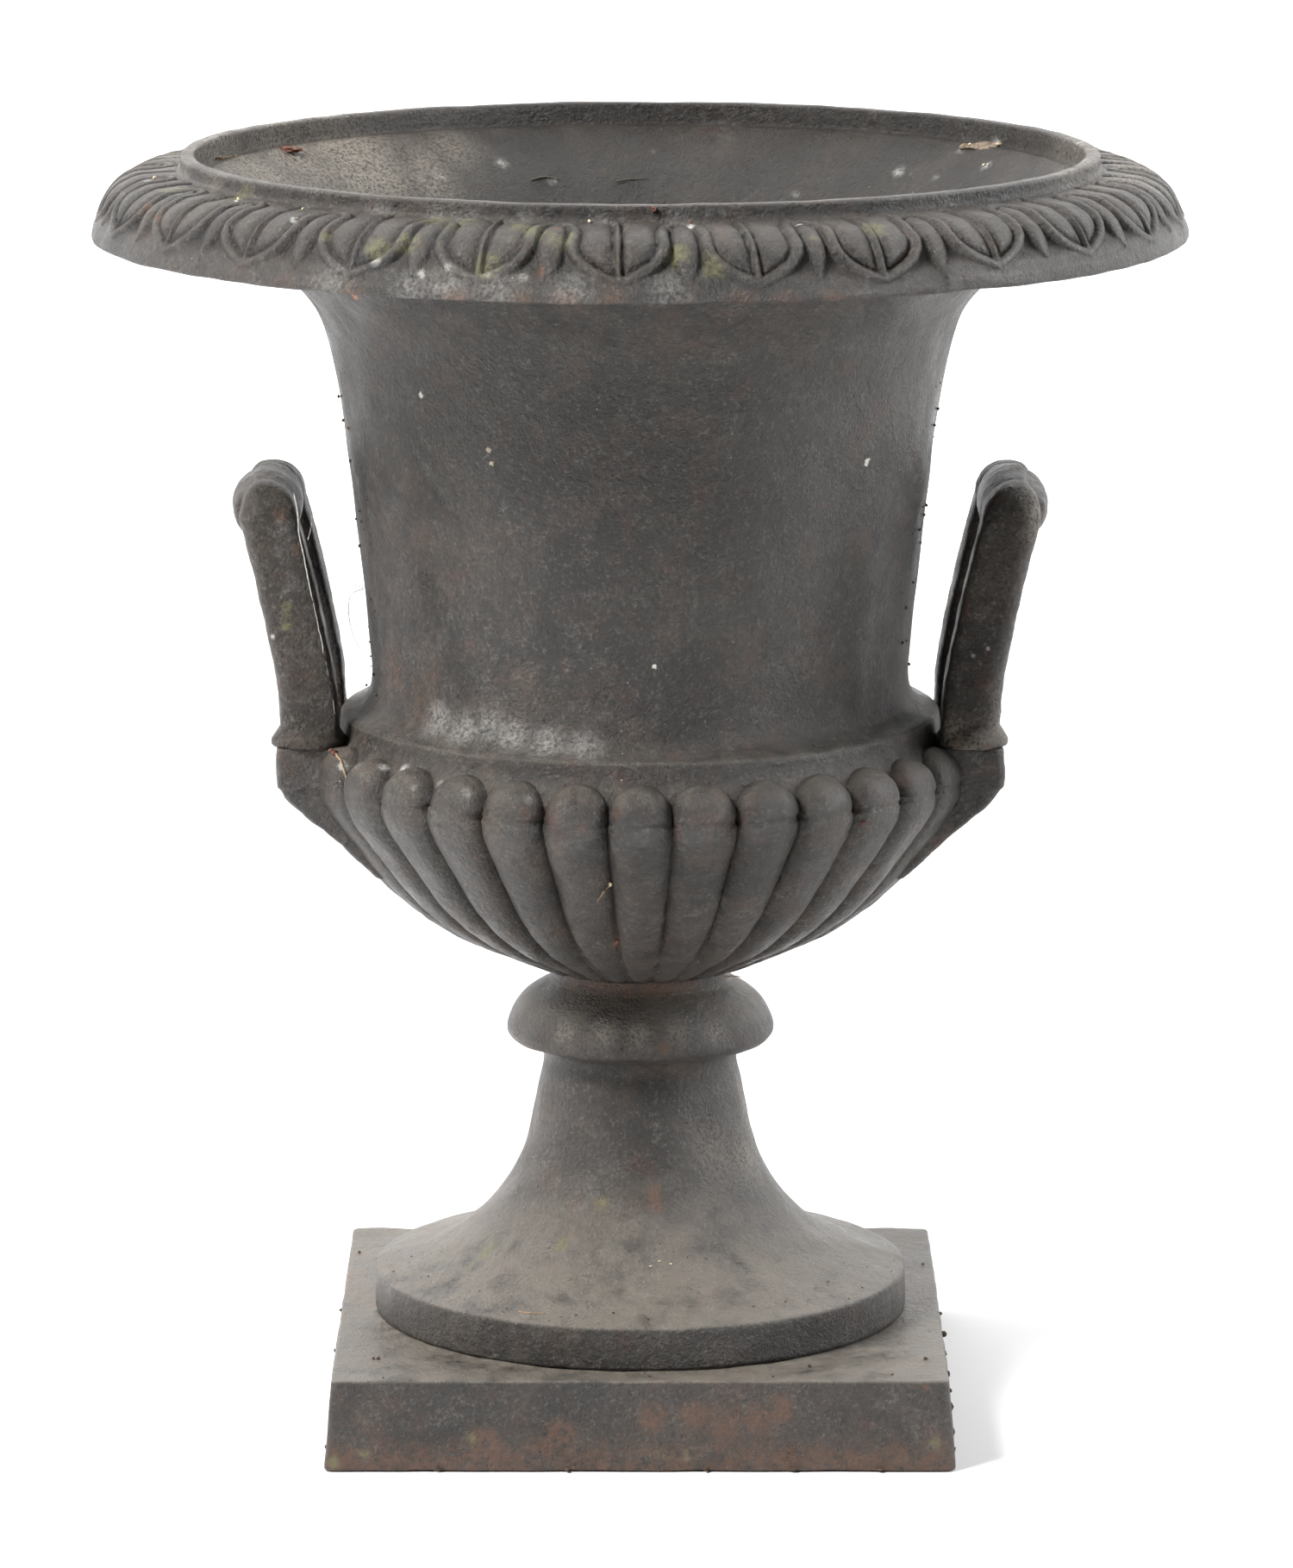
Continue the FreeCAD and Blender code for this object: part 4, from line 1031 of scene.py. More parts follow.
@dataclass
class Bowl(Casting):
    """The bowl with its gadroons and the brackets for the handles.

    Attributes:
        columns: How many points go round the body.
        foot: The underside of the body.
        upper: The rest of its outline: shoulder, top, inside and floor.
        core_share: How far out the body reaches under the lobes, as a share of them.
        crest: The line along the top of a lobe, from its head down.
        crest_steps: How many rings of points a lobe has below its head.
        lobe_count: How many lobes go round the bowl.
        lobe_sides: How many points go round each lobe.
        lobe_depth: Half the depth of a lobe.
        lobe_power: How square a lobe is: 1 is round.
        bead_radius: How far the bead at its head stands up and out.
        bead_half: Half the width of the bead.
        bead_ring: The radius of the ring on which the beads lie.
        bead_height: The height of that ring.
        bracket_spacing: The distance between the two brackets of a side.
        bracket: Height, reach and half width of a bracket, from its top down.
        bracket_round: The radius of its corners.
        bracket_length: How far it reaches back into the bowl.
        bracket_root: The least radius at which it ends there.
    """

    columns: int = 384
    foot: Run = Run(6, ((9, 245), (50, 245), (53.5, 245.4), (56, 246.8)), False)
    upper: tuple[Run, ...] = (
        Run(32, ((176.2, 363), (175, 369), (172.4, 374), (169.2, 378.4), (167.4, 381.8),
                 (166.7, 384.2), (166.4, 386.6), (166.2, 388.6), (165.6, 389.9),
                 (164.6, 390.6), (163, 390.9), (160, 388), (158, 384))),
        Run(12, ((158, 384), (118, 384), (118, 375), (154, 375), (168.2, 363)), False),
        Run(30, ((168.2, 363), (167, 352), (161, 344), (145, 324), (124, 300), (99, 280),
                 (72, 264), (60, 257))),
        Run(8, ((60, 257), (9, 257), (9, 245)), False))
    core_share: float = 0.94
    crest: Outline = (
        (187.5, 363), (187.8, 357), (185.5, 349), (180, 340), (172, 329.5), (164, 319.2),
        (156, 309.3), (148, 299.7), (140, 291.6), (130, 282.9), (120, 275.8), (110, 269.4),
        (100, 264.2), (90, 259.8), (80, 255.4), (70, 250.8), (61, 247))
    crest_steps: int = 34
    lobe_count: int = 32
    lobe_sides: int = 28
    lobe_depth: float = 14.0
    lobe_power: float = 0.74
    bead_radius: float = 16.9
    bead_half: float = 18.1
    bead_ring: float = 171.5
    bead_height: float = 363.0
    bracket_spacing: float = 90.0
    bracket: Outline = (
        (378.6, 199.2, 17.6), (377.2, 199.8, 18), (368, 200, 18.2), (356.8, 199.9, 18.2),
        (355.6, 198.4, 17.4), (349, 194, 17.2), (340, 184.6, 17), (330, 172.6, 16.2),
        (320, 161.6, 15), (310, 151.6, 13.4), (304, 145.4, 12))
    bracket_round: float = 5.0
    bracket_length: float = 52.0
    bracket_root: float = 128.0

    def build(self) -> list[Piece]:
        """Makes the body, the gadroons and the brackets."""
        return [self._body(), self._gadroons(), self._brackets()]

    def _body(self) -> Piece:
        """The plain bowl under the gadroons, its shoulder, flange and hollow."""
        core = [(radius * self.core_share, height) for radius, height in self.crest[-2::-1]]
        under = Run(60, (self.foot.points[-1], *core))
        body = turned("bowl_body", (self.foot, under, *self.upper), self.columns)
        Swell(0.25, 30.0, 21).lay(body)
        return body

    def _gadroons(self) -> Piece:
        """The lobes round the bowl, each one with a bead for its head."""
        draw = np.random.default_rng(32)
        shells = Shells()
        for number in range(self.lobe_count):
            turn = 2 * math.pi * number / self.lobe_count - math.pi / 2 + draw.normal(0, 0.0016)
            shells.add(swung(self._lobe(draw), turn))
        lobes = shells.cast("bowl_gadroons")
        Swell(0.25, 24.0, 22).lay(lobes)
        Swell(0.22, 9.0, 25).lay(lobes)
        # Painted shade on the sides of each lobe, down in the valleys between the lobes.
        valley = soft_step(-np.cos(full_turn(self.lobe_sides)), -0.40, 0.15)
        painted(lobes, "hollow", np.resize(valley, len(lobes.data.vertices)))
        return lobes

    def _lobe(self, draw: np.random.Generator) -> np.ndarray:
        """One lobe, as x outward, y across and z up.

        Args:
            draw: The source of its small differences from the others.

        Returns:
            Its rings, from the top of its bead down to its tail.
        """
        fuller = draw.uniform(0.975, 1.01)
        slip = draw.normal(0, 0.6)
        fatter = draw.uniform(0.96, 1.02)
        crease = draw.uniform(0.0, 0.55)
        rings = []
        for share in np.linspace(0, math.pi / 2, 11)[::-1]:
            reach = max(math.cos(share), 0.03)
            ring = self._bead(self.bead_radius * math.sin(share), self.bead_half * reach * fatter,
                              self.bead_radius * reach)
            rings.append(ring + (0, slip, 0))
        for drop, inset in ((0.9, 0.1), (1.9, 0.3 + crease), (2.6, 0.3 + crease), (3.4, 0.5)):
            rings.append(self._bead(-drop, self.bead_half - inset / 2, self.bead_radius - inset))
        crest = drawn_curve(self.crest, self.crest_steps)
        course = np.gradient(crest, axis=0)
        course /= np.linalg.norm(course, axis=1, keepdims=True)
        outward = np.stack([-course[:, 1], course[:, 0]], axis=1)
        for mark, normal in zip(crest[1:], outward[1:]):
            narrow = 1 + 0.035 * min(1.0, (self.bead_height - mark[1]) / 30)
            half = math.pi * mark[0] / self.lobe_count * narrow * fuller
            deep = min(self.lobe_depth, half * 0.85)
            rings.append(self._ring(mark - normal * deep, normal, half, deep))
        return np.array(rings)

    def _bead(self, rise: float, half: float, deep: float) -> np.ndarray:
        """A ring of the bead, at a height above or below its middle."""
        middle = np.array([self.bead_ring, self.bead_height + rise])
        return self._ring(middle, np.array([1.0, 0.0]), half, deep)

    def _ring(self, middle: np.ndarray, outward: np.ndarray, half: float,
              deep: float) -> np.ndarray:
        """One ring of a lobe.

        Args:
            middle: The radius and height of its middle.
            outward: The way its crest points, as a radius and a height.
            half: Half its width.
            deep: Half its depth.

        Returns:
            The points of the ring, from its crest on.
        """
        angles = full_turn(self.lobe_sides)
        out = squared(np.cos(angles), self.lobe_power, deep)
        across = squared(np.sin(angles), self.lobe_power, half)
        return np.stack([middle[0] + out * outward[0], across, middle[1] + out * outward[1]],
                        axis=1)

    def _brackets(self) -> Piece:
        """Four brackets that swell out of the bowl under the collars."""
        shells = Shells()
        rings = np.array([self._bracket_ring(*row) for row in drawn_curve(self.bracket, 48)])
        for side in Side:
            for along in (-self.bracket_spacing / 2, self.bracket_spacing / 2):
                shells.add(rings * (side.value, 1, 1) + (0, along, 0))
        brackets = shells.cast("bowl_brackets")
        merged(brackets, 1.1)
        Swell(0.4, 14.0, 23).lay(brackets)
        Swell(0.15, 6.0, 24).lay(brackets)
        return brackets

    def _bracket_ring(self, height: float, reach: float, half: float) -> np.ndarray:
        """A level rectangle with rounded corners, across a bracket.

        Args:
            height: Its level.
            reach: How far out it goes.
            half: Half its width.

        Returns:
            Its points.
        """
        root = max(reach - self.bracket_length, self.bracket_root) + self.bracket_round
        front = reach - self.bracket_round
        side = half - self.bracket_round
        corners = ((front, side), (root, side), (root, -side), (front, -side))
        points = []
        for quarter, (x, y) in enumerate(corners):
            for step in range(7):
                turn = math.radians(90 * quarter + 15 * step)
                points.append((x + self.bracket_round * math.cos(turn),
                               y + self.bracket_round * math.sin(turn), height))
        return np.array(points)

    def marks(self) -> list[Mark]:
        """What the weather has left on the bowl."""
        return [
            near(Stain.LIME, 5.0, 0.75, (-162, -80, 373), (-158, -92, 366), (-150, -84, 381),
                 (-128, -112, 377), (-124, -121, 372), (-95, -143, 371), (-139, -104, 376),
                 (-106, -134, 372), (-70, -155, 371), (-36, -166, 370), (-3, -169, 369)),
            near(Stain.LIME, 9.0, 0.42, (-146, -116, 372), (-122, -139, 374),
                 (-92, -159, 374), (-58, -172, 373), (-155, -98, 378), (-20, -178, 372)),
            near(Stain.RUST, 7.0, 0.6, (-62, -176, 366), (-120, -143, 355), (-30, -183, 360),
                 (-44, -178, 345), (-12, -184, 368), (35, -183, 352)),
            near(Stain.RUST, 6.0, 1.0, (-13, -123.5, 285), (-15, -120, 283))]


@dataclass
class Handle(Casting):
    """One loop handle: two legs on round collars and a barrel-shaped grip.

    Attributes:
        side: The side that it stands on.
        leg_spacing: The distance between its legs.
        leg_width: How wide a leg is along x.
        leg_depth: How wide a leg is along y.
        middle_line: The x and z of the middle of a leg, from its collar up.
        shoulder_round: How far the leg's outer face draws back where it rounds over.
        shoulder_rise: How far the leg rises while it rounds over.
        shoulder_lean: How far it moves outwards meanwhile.
        collar_middle: The x of the middle of a collar.
        collar_foot: The z of its underside.
        collar: Radius and rise of a collar, from its underside up.
        grip_middle: The x and z of the middle of the grip.
        grip: Distance from the grip's middle, half its width and half its height there.
        grip_lean: How far its section leans, in degrees.
        parting: How high the step is that the parting of the mould has left on it.
    """

    side: Side
    leg_spacing: float = 90.0
    leg_width: float = 33.0
    leg_depth: float = 29.8
    middle_line: Outline = (
        (181.2, 380), (181.4, 394), (182.9, 412.6), (187.5, 437.6), (193, 463.6),
        (198.4, 486.6), (202.8, 503))
    shoulder_round: float = 20.0
    shoulder_rise: float = 20.4
    shoulder_lean: float = 3.5
    collar_middle: float = 181.9
    collar_foot: float = 377.9
    collar: Outline = (
        (19.6, 0), (20.8, 0.8), (20.9, 3.4), (20.2, 5), (17.6, 9), (15, 12.5), (13, 14))
    grip_middle: tuple[float, float] = (205.6, 507.4)
    grip: Outline = (
        (0, 19.4, 18), (10, 19.3, 17.8), (20, 18.9, 17), (28, 18.2, 15.9), (34, 17.4, 14.8),
        (38, 16.4, 13.6), (40, 15.2, 12.4))
    grip_lean: float = 12.0
    parting: float = 1.9

    def build(self) -> list[Piece]:
        """Casts the handle in one piece."""
        shells = Shells()
        parts = [part(along) for along in (-self.leg_spacing / 2, self.leg_spacing / 2)
                 for part in (self._leg, self._collar)]
        for rings in (*parts, self._grip()):
            shells.add(np.array(rings) * (self.side.value, 1, 1))
        handle = shells.cast(f"{self.side.name.lower()}_loop_handle")
        merged(handle, 0.9)
        Swell(0.3, 15.0, 31 + self.side.value).lay(handle)
        Swell(0.12, 6.0, 35 + self.side.value).lay(handle)
        return [handle]

    def _leg(self, along: float) -> list[np.ndarray]:
        """One leg as level rings from its collar up into the grip."""
        wide, deep = self.leg_width / 2, self.leg_depth / 2
        rings = [level_ring((x, along, height), wide, deep, 3.0, 5.5)
                 for x, height in drawn_curve(self.middle_line, 24)]
        last_x, last_height = self.middle_line[-1]
        for share in np.linspace(0.1, 1.0, 10):
            reach = max(math.cos(share * math.pi / 2), 0.06)
            set_back = self.shoulder_round * (1 - reach) / 2
            middle = (last_x + self.shoulder_lean * share**2,
                      along - math.copysign(set_back, along),
                      last_height + self.shoulder_rise * math.sin(share * math.pi / 2))
            rings.append(level_ring(middle, wide * reach**0.85, deep - set_back, 2.8, 3.4))
        return rings

    def _collar(self, along: float) -> list[np.ndarray]:
        """The round collar at the foot of a leg."""
        return [level_ring((self.collar_middle, along, self.collar_foot + rise), radius, radius,
                           2.0, 2.0, 48) for radius, rise in self.collar]

    def _grip(self) -> list[np.ndarray]:
        """The grip as upright rings from one end to the other."""
        near_half = [(-along, *sizes) for along, *sizes in self.grip[:0:-1]]
        return [self._grip_ring(*row) for row in refined([*near_half, *self.grip], 2.0)]

    def _grip_ring(self, along: float, half: float, deep: float) -> np.ndarray:
        """One ring of the grip: full outside, flatter towards the bell, with its mould step.

        Args:
            along: Its place along the grip.
            half: Half its width.
            deep: Half its height.

        Returns:
            Its points.
        """
        angles = full_turn(64)
        power = 2 / np.where(np.sin(angles) >= 0, 2.05, 2.9)
        across = squared(np.cos(angles), power, half)
        up = squared(np.sin(angles), power, deep)
        up = up - self.parting * soft_step(across, 3.2, 5.4) * soft_step(up, 0.0, deep)
        lean = math.radians(self.grip_lean)
        x = self.grip_middle[0] + across * math.cos(lean) + up * math.sin(lean) * 0.6
        z = self.grip_middle[1] + up - across * math.sin(lean) * 0.35
        return np.stack([x, np.full(len(x), along), z], axis=1)

    def marks(self) -> list[Mark]:
        """What the weather has left on the handle."""
        if self.side is Side.LEFT:
            return [
                near(Stain.RUST, 5.5, 1.0, (-195.5, -59.5, 508)),
                near(Stain.RUST, 16.0, 0.75, (-165, 40, 396), (-168, 36, 388), (-172, 48, 400)),
                near(Stain.MOSS, 4.0, 0.9, (-193, -60, 457), (-193, -60, 446), (-193, -60, 451)),
                near(Stain.LIME, 2.2, 0.9, (-201, -57, 440), (-205, -58, 520)),
                near(Stain.LIME, 18.0, 0.30, (-194, -60, 488), (-196, -60, 500),
                     (-190, -60, 470)),
                near(Stain.RUST, 7.0, 0.7, (-186, -59, 488), (-190, -55, 480))]
        return [
            near(Stain.DUST, 10.0, 0.7, (212, -50, 518), (216, -56, 510), (219, -58, 500)),
            near(Stain.RUST, 8.0, 0.55, (196, -56, 385), (190, -63, 381), (175, -62, 383)),
            near(Stain.LIME, 2.2, 0.6, (182, -59, 430), (190, -59, 434)),
            near(Stain.DUST, 12.0, 0.5, (183, -64, 384), (172, -60, 386), (196, -52, 386))]


@dataclass
class Socle(Casting):
    """The turned foot between bowl and plinth.

    Attributes:
        columns: How many points go round it.
        outline: Its neck, knop, stem with trumpet, round step and inside.
    """

    columns: int = 384
    outline: tuple[Run, ...] = (
        Run(8, ((38, 245), (49, 245), (49.5, 244.2), (49.6, 238.8), (51, 237)), False),
        Run(34, ((51, 237), (56.6, 233.8), (64.3, 228.8), (68.9, 223.9), (72.1, 218.9),
                 (74.2, 214), (75, 210), (74.2, 206.8), (71.6, 204.2), (67.5, 202.8))),
        Run(84, ((67.5, 202.8), (60, 201.4), (56, 199), (54.2, 194.6), (54.3, 189),
                 (56.7, 178), (59.5, 165), (62.3, 151), (66, 139), (71, 127.6), (75, 120.6),
                 (80, 113.7), (85, 107.7), (90, 102.4), (96, 96.9), (103, 91.8), (110, 87.6),
                 (118, 83.9), (127, 80.5), (137, 77.2), (146.8, 74.3))),
        Run(14, ((146.8, 74.3), (148.4, 73.6), (149, 72), (148.9, 62), (149, 52),
                 (148.6, 50.4))),
        Run(40, ((148.6, 50), (139, 50), (139, 64), (98, 83.1), (62, 123.4), (44, 194),
                 (58, 205.5), (58, 215.5), (38, 232), (38, 245)), False))

    def build(self) -> list[Piece]:
        """Turns the neck, knop, stem, trumpet and step in one."""
        socle = turned("turned_socle", self.outline, self.columns)
        Swell(0.35, 26.0, 41).lay(socle)
        return [socle]

    def marks(self) -> list[Mark]:
        """What the weather has left on the socle."""
        return [
            near(Stain.RUST, 14.0, 1.0, (-40, -30, 242), (-25, -43, 243), (-11, -48, 242),
                 (8, -49, 242), (26, -42, 242), (-20, -46, 238), (16, -48, 239)),
            near(Stain.RUST, 6.0, 0.8, (9, -73, 123), (8, -71, 129), (8, -70, 134),
                 (-38, -76, 106), (13, -73, 213), (-22, -69, 124)),
            near(Stain.MOSS, 7.0, 0.75, (-87, -56, 91), (-43, -78, 103), (-22, -69, 124),
                 (-84, -52, 94), (-96, -60, 87)),
            near(Stain.LIME, 26.0, 0.27, (-26, -66, 130), (-13, -71, 125), (-20, -60, 145),
                 (-30, -62, 122), (-24, -56, 160), (-8, -78, 112)),
            near(Stain.DUST, 22.0, 0.62, (100, -20, 92), (118, 6, 86), (92, -58, 91),
                 (128, -26, 82), (70, -85, 89), (110, 40, 88), (-118, 10, 86), (-105, 40, 88),
                 (130, 20, 82), (50, -52, 150), (60, -30, 140), (58, -5, 150)),
            near(Stain.DUST, 10.0, 0.7, (-40, -56, 219), (-20, -66, 221), (20, -66, 221),
                 (40, -56, 220), (0, -69, 221))]


@dataclass
class Plinth(Casting):
    """The square block that the urn stands on.

    Attributes:
        side_points: How many points each side of a ring has.
        levels: Half the side, height and corner radius of each ring: from the lower edge up
            its outside, over the plate, down the hole in its middle and the hollow below.
    """

    side_points: int = 84
    levels: Outline = (
        (165, 0.4, 3), (171, 0.4, 3.6), (171.6, 0.7, 4), (171.8, 1.4, 4), (171.8, 3, 4),
        (170.8, 15, 4), (169.8, 28, 4), (168.8, 41, 4), (168.4, 46.5, 4), (168.2, 48.2, 4),
        (167.7, 49.3, 3.8), (166.8, 49.85, 3.4), (165.6, 50, 3), (150, 50, 3), (120, 50, 3),
        (9, 50, 3), (9, 41, 3), (158.2, 41, 4), (158.2, 0.4, 4), (165, 0.4, 3))

    def build(self) -> list[Piece]:
        """Casts the plinth, hollow below its plate."""
        rings = [self._ring(*row) for row in refined(self.levels, 5.0)[:-1]]
        faces = skin_faces(len(rings), len(rings[0]), True)
        plinth = mesh_object("square_plinth", np.vstack(rings), faces)
        Swell(0.35, 30.0, 51).lay(plinth)
        return [plinth]

    def _ring(self, half: float, height: float, rounding: float) -> np.ndarray:
        """One square ring with rounded corners.

        Args:
            half: Half its side.
            height: Its level.
            rounding: The radius of its corners.

        Returns:
            Its points, close together near the corners.
        """
        share = np.sin(np.linspace(-0.5, 0.5, self.side_points, endpoint=False) * math.pi)
        sides = [np.stack([share, np.ones(self.side_points)], axis=1)]
        for _ in range(3):
            sides.append(sides[-1][:, ::-1] * (1, -1))
        square = np.vstack(sides) * half
        core = np.clip(square, rounding - half, half - rounding)
        offset = square - core
        offset *= rounding / np.linalg.norm(offset, axis=1, keepdims=True)
        return np.column_stack([core + offset, np.full(len(square), height)])

    def marks(self) -> list[Mark]:
        """What the weather has left on the plinth."""
        foot = [(x, -171, 2) for x in range(-160, 171, 20)]
        seam = [(151 * math.cos(turn), 151 * math.sin(turn), 50)
                for turn in np.radians(range(186, 356, 5))]
        return [
            near(Stain.RUST, 24.0, 0.75, *foot),
            near(Stain.RUST, 13.0, 0.9, (-43, -170, 20), (75, -169, 34), (46, -170, 27),
                 (6, -170, 30), (30, -170, 31), (-50, -170, 12), (-85, -170, 16),
                 (64, -170, 30)),
            near(Stain.RUST, 3.0, 1.0, (155, -168, 46)),
            near(Stain.RUST, 14.0, 0.8, (-160, 29, 50), (162, 19, 50), (-150, -5, 50),
                 (156, -12, 50), (-163, 50, 50), (160, 45, 50), (-166, 70, 46), (168, 60, 46)),
            near(Stain.DUST, 9.0, 0.9, *seam),
            near(Stain.MOSS, 5.0, 0.9, (-166, -171, 5), (-150, -171, 10), (10, -170, 9),
                 (24, -170, 9), (-92, -170, 18), (160, -171, 16))]


# What lies on it


@dataclass(frozen=True)
class Thread:
    """A thin round thing, such as a twig, a hair or the flash of a mould's joint.

    Attributes:
        name: The piece's name.
        path: The places that it passes through.
        thickness: Its radius.
        waver: How far it strays from its path.
        taper: How thin its far end is, as a share.
        sides: How many points go round it.
    """

    name: str
    path: tuple[Place, ...]
    thickness: float
    waver: float = 0.3
    taper: float = 0.5
    sides: int = 8

    def build(self) -> Piece:
        """Draws it as a bent tube."""
        draw = np.random.default_rng(len(self.name) + int(abs(self.path[0][0])))
        line = drawn_curve(self.path, max(6, 7 * (len(self.path) - 1)))
        line[1:-1] += draw.normal(0, self.waver, (len(line) - 2, 3)) * 0.5
        turns = full_turn(self.sides)
        rings = []
        for number, (place, ahead) in enumerate(zip(line, headings(line))):
            aside = ahead.orthogonal().normalized()
            share = number / (len(line) - 1)
            radius = self.thickness * (1 - (1 - self.taper) * share) * draw.uniform(0.75, 1.2)
            ring = np.outer(np.cos(turns), aside) + np.outer(np.sin(turns), ahead.cross(aside))
            rings.append(place + radius * ring)
        return Shells().add(rings).cast(self.name)


@dataclass(frozen=True)
class WingedSeed:
    """A dry winged seed that lies on the rim's ledge, nut and papery wing in one.

    Attributes:
        name: The piece's name.
        spine: The line along its wing, from the nut to the tip.
        above: The direction that points off the ledge.
        stations: Share along the spine, half its width and half its thickness there.
        steps: How many rings of points go along it.
        sides: How many points go round it.
        curl: How far its edges curl up, as a share of half its width.
    """

    name: str = "winged_seed"
    spine: tuple[Place, ...] = (
        (180.6, 147.6, 685.2), (185.6, 143.8, 686.4), (191.0, 139.4, 687.3),
        (196.6, 134.6, 687.7), (201.6, 130.6, 688.0))
    above: Place = (-0.44, -0.30, 0.85)
    stations: Outline = (
        (0, 0.6, 0.5), (0.06, 2.0, 1.5), (0.14, 2.5, 1.8), (0.22, 1.9, 1.1), (0.30, 2.0, 0.5),
        (0.45, 3.0, 0.35), (0.65, 3.9, 0.30), (0.82, 3.9, 0.28), (0.93, 2.9, 0.26),
        (1, 0.9, 0.22))
    steps: int = 48
    sides: int = 14
    curl: float = 0.175

    def build(self) -> Piece:
        """Stretches a skin over flat rings that follow the spine, with a wavy edge."""
        draw = np.random.default_rng(5)
        line = drawn_curve(self.spine, self.steps)
        shares, halves, thicks = np.array(self.stations).T
        turns = full_turn(self.sides)
        up = Vector(self.above)
        rings = []
        for number, (place, ahead) in enumerate(zip(line, headings(line))):
            share = number / self.steps
            half = float(np.interp(share, shares, halves)) * draw.uniform(0.93, 1.05)
            thick = float(np.interp(share, shares, thicks))
            curl = self.curl * math.sin(9.0 * share) * share
            flat = np.cos(turns) * half
            rings.append(place + np.outer(flat, ahead.cross(up).normalized())
                         + np.outer(np.sin(turns) * thick + curl * flat, up))
        return Shells().add(rings).cast(self.name)


@dataclass(frozen=True)
class Crumbs:
    """Small ragged crumbs of soil, leaf or rust scale that lie on the urn.

    Attributes:
        name: The piece's name.
        seed: Picks their shapes.
        places: Where each lies, and half its length, width and height.
    """

    name: str
    seed: int
    places: Outline

    def build(self) -> Piece:
        """Breaks each crumb out of a ball."""
        draw = np.random.default_rng(self.seed)
        ball = bmesh.new()
        bmesh.ops.create_icosphere(ball, subdivisions=2, radius=1.0)
        ball.verts.ensure_lookup_table()
        shape = np.array([vertex.co for vertex in ball.verts])
        skin = np.array([[vertex.index for vertex in face.verts] for face in ball.faces])
        ball.free()
        crumbs, faces = [], []
        for number, (*place, long, wide, high) in enumerate(self.places):
            turn = draw.uniform(0, math.pi)
            crumb = shape * draw.uniform(0.62, 1.15, (len(shape), 1)) * (long, wide, high)
            crumbs.append(swung(crumb, turn) + place)
            faces += (skin + number * len(shape)).tolist()
        return mesh_object(self.name, np.vstack(crumbs), faces, sharp=True)


@dataclass(frozen=True)
class Litter:
    """The finish of dry leaves, twigs, seeds and crumbs.

    Attributes:
        name: The finish's name.
        colour: Its main colour.
        other: The colour of its clouds.
        roughness: How dull it is.
    """

    name: str
    colour: Colour
    other: Colour
    roughness: float = 0.8

    def make(self) -> bpy.types.Material:
        """Lays the finish out as a material."""
        bench = Bench(self.name)
        clouds = bench.cloud(Cloud(2.0, 3.0))
        surface = bench.surface.inputs
        bench.feed(surface["Base Color"],
                   bench.blend(bench.rise(clouds, 0.35, 0.65), self.colour, self.other))
        bench.feed(surface["Roughness"], bench.sum("ADD", clouds, self.roughness - 0.5))
        bench.feed(surface["Normal"], bench.bump(bench.cloud(Cloud(0.8)), 0.2))
        return bench.material


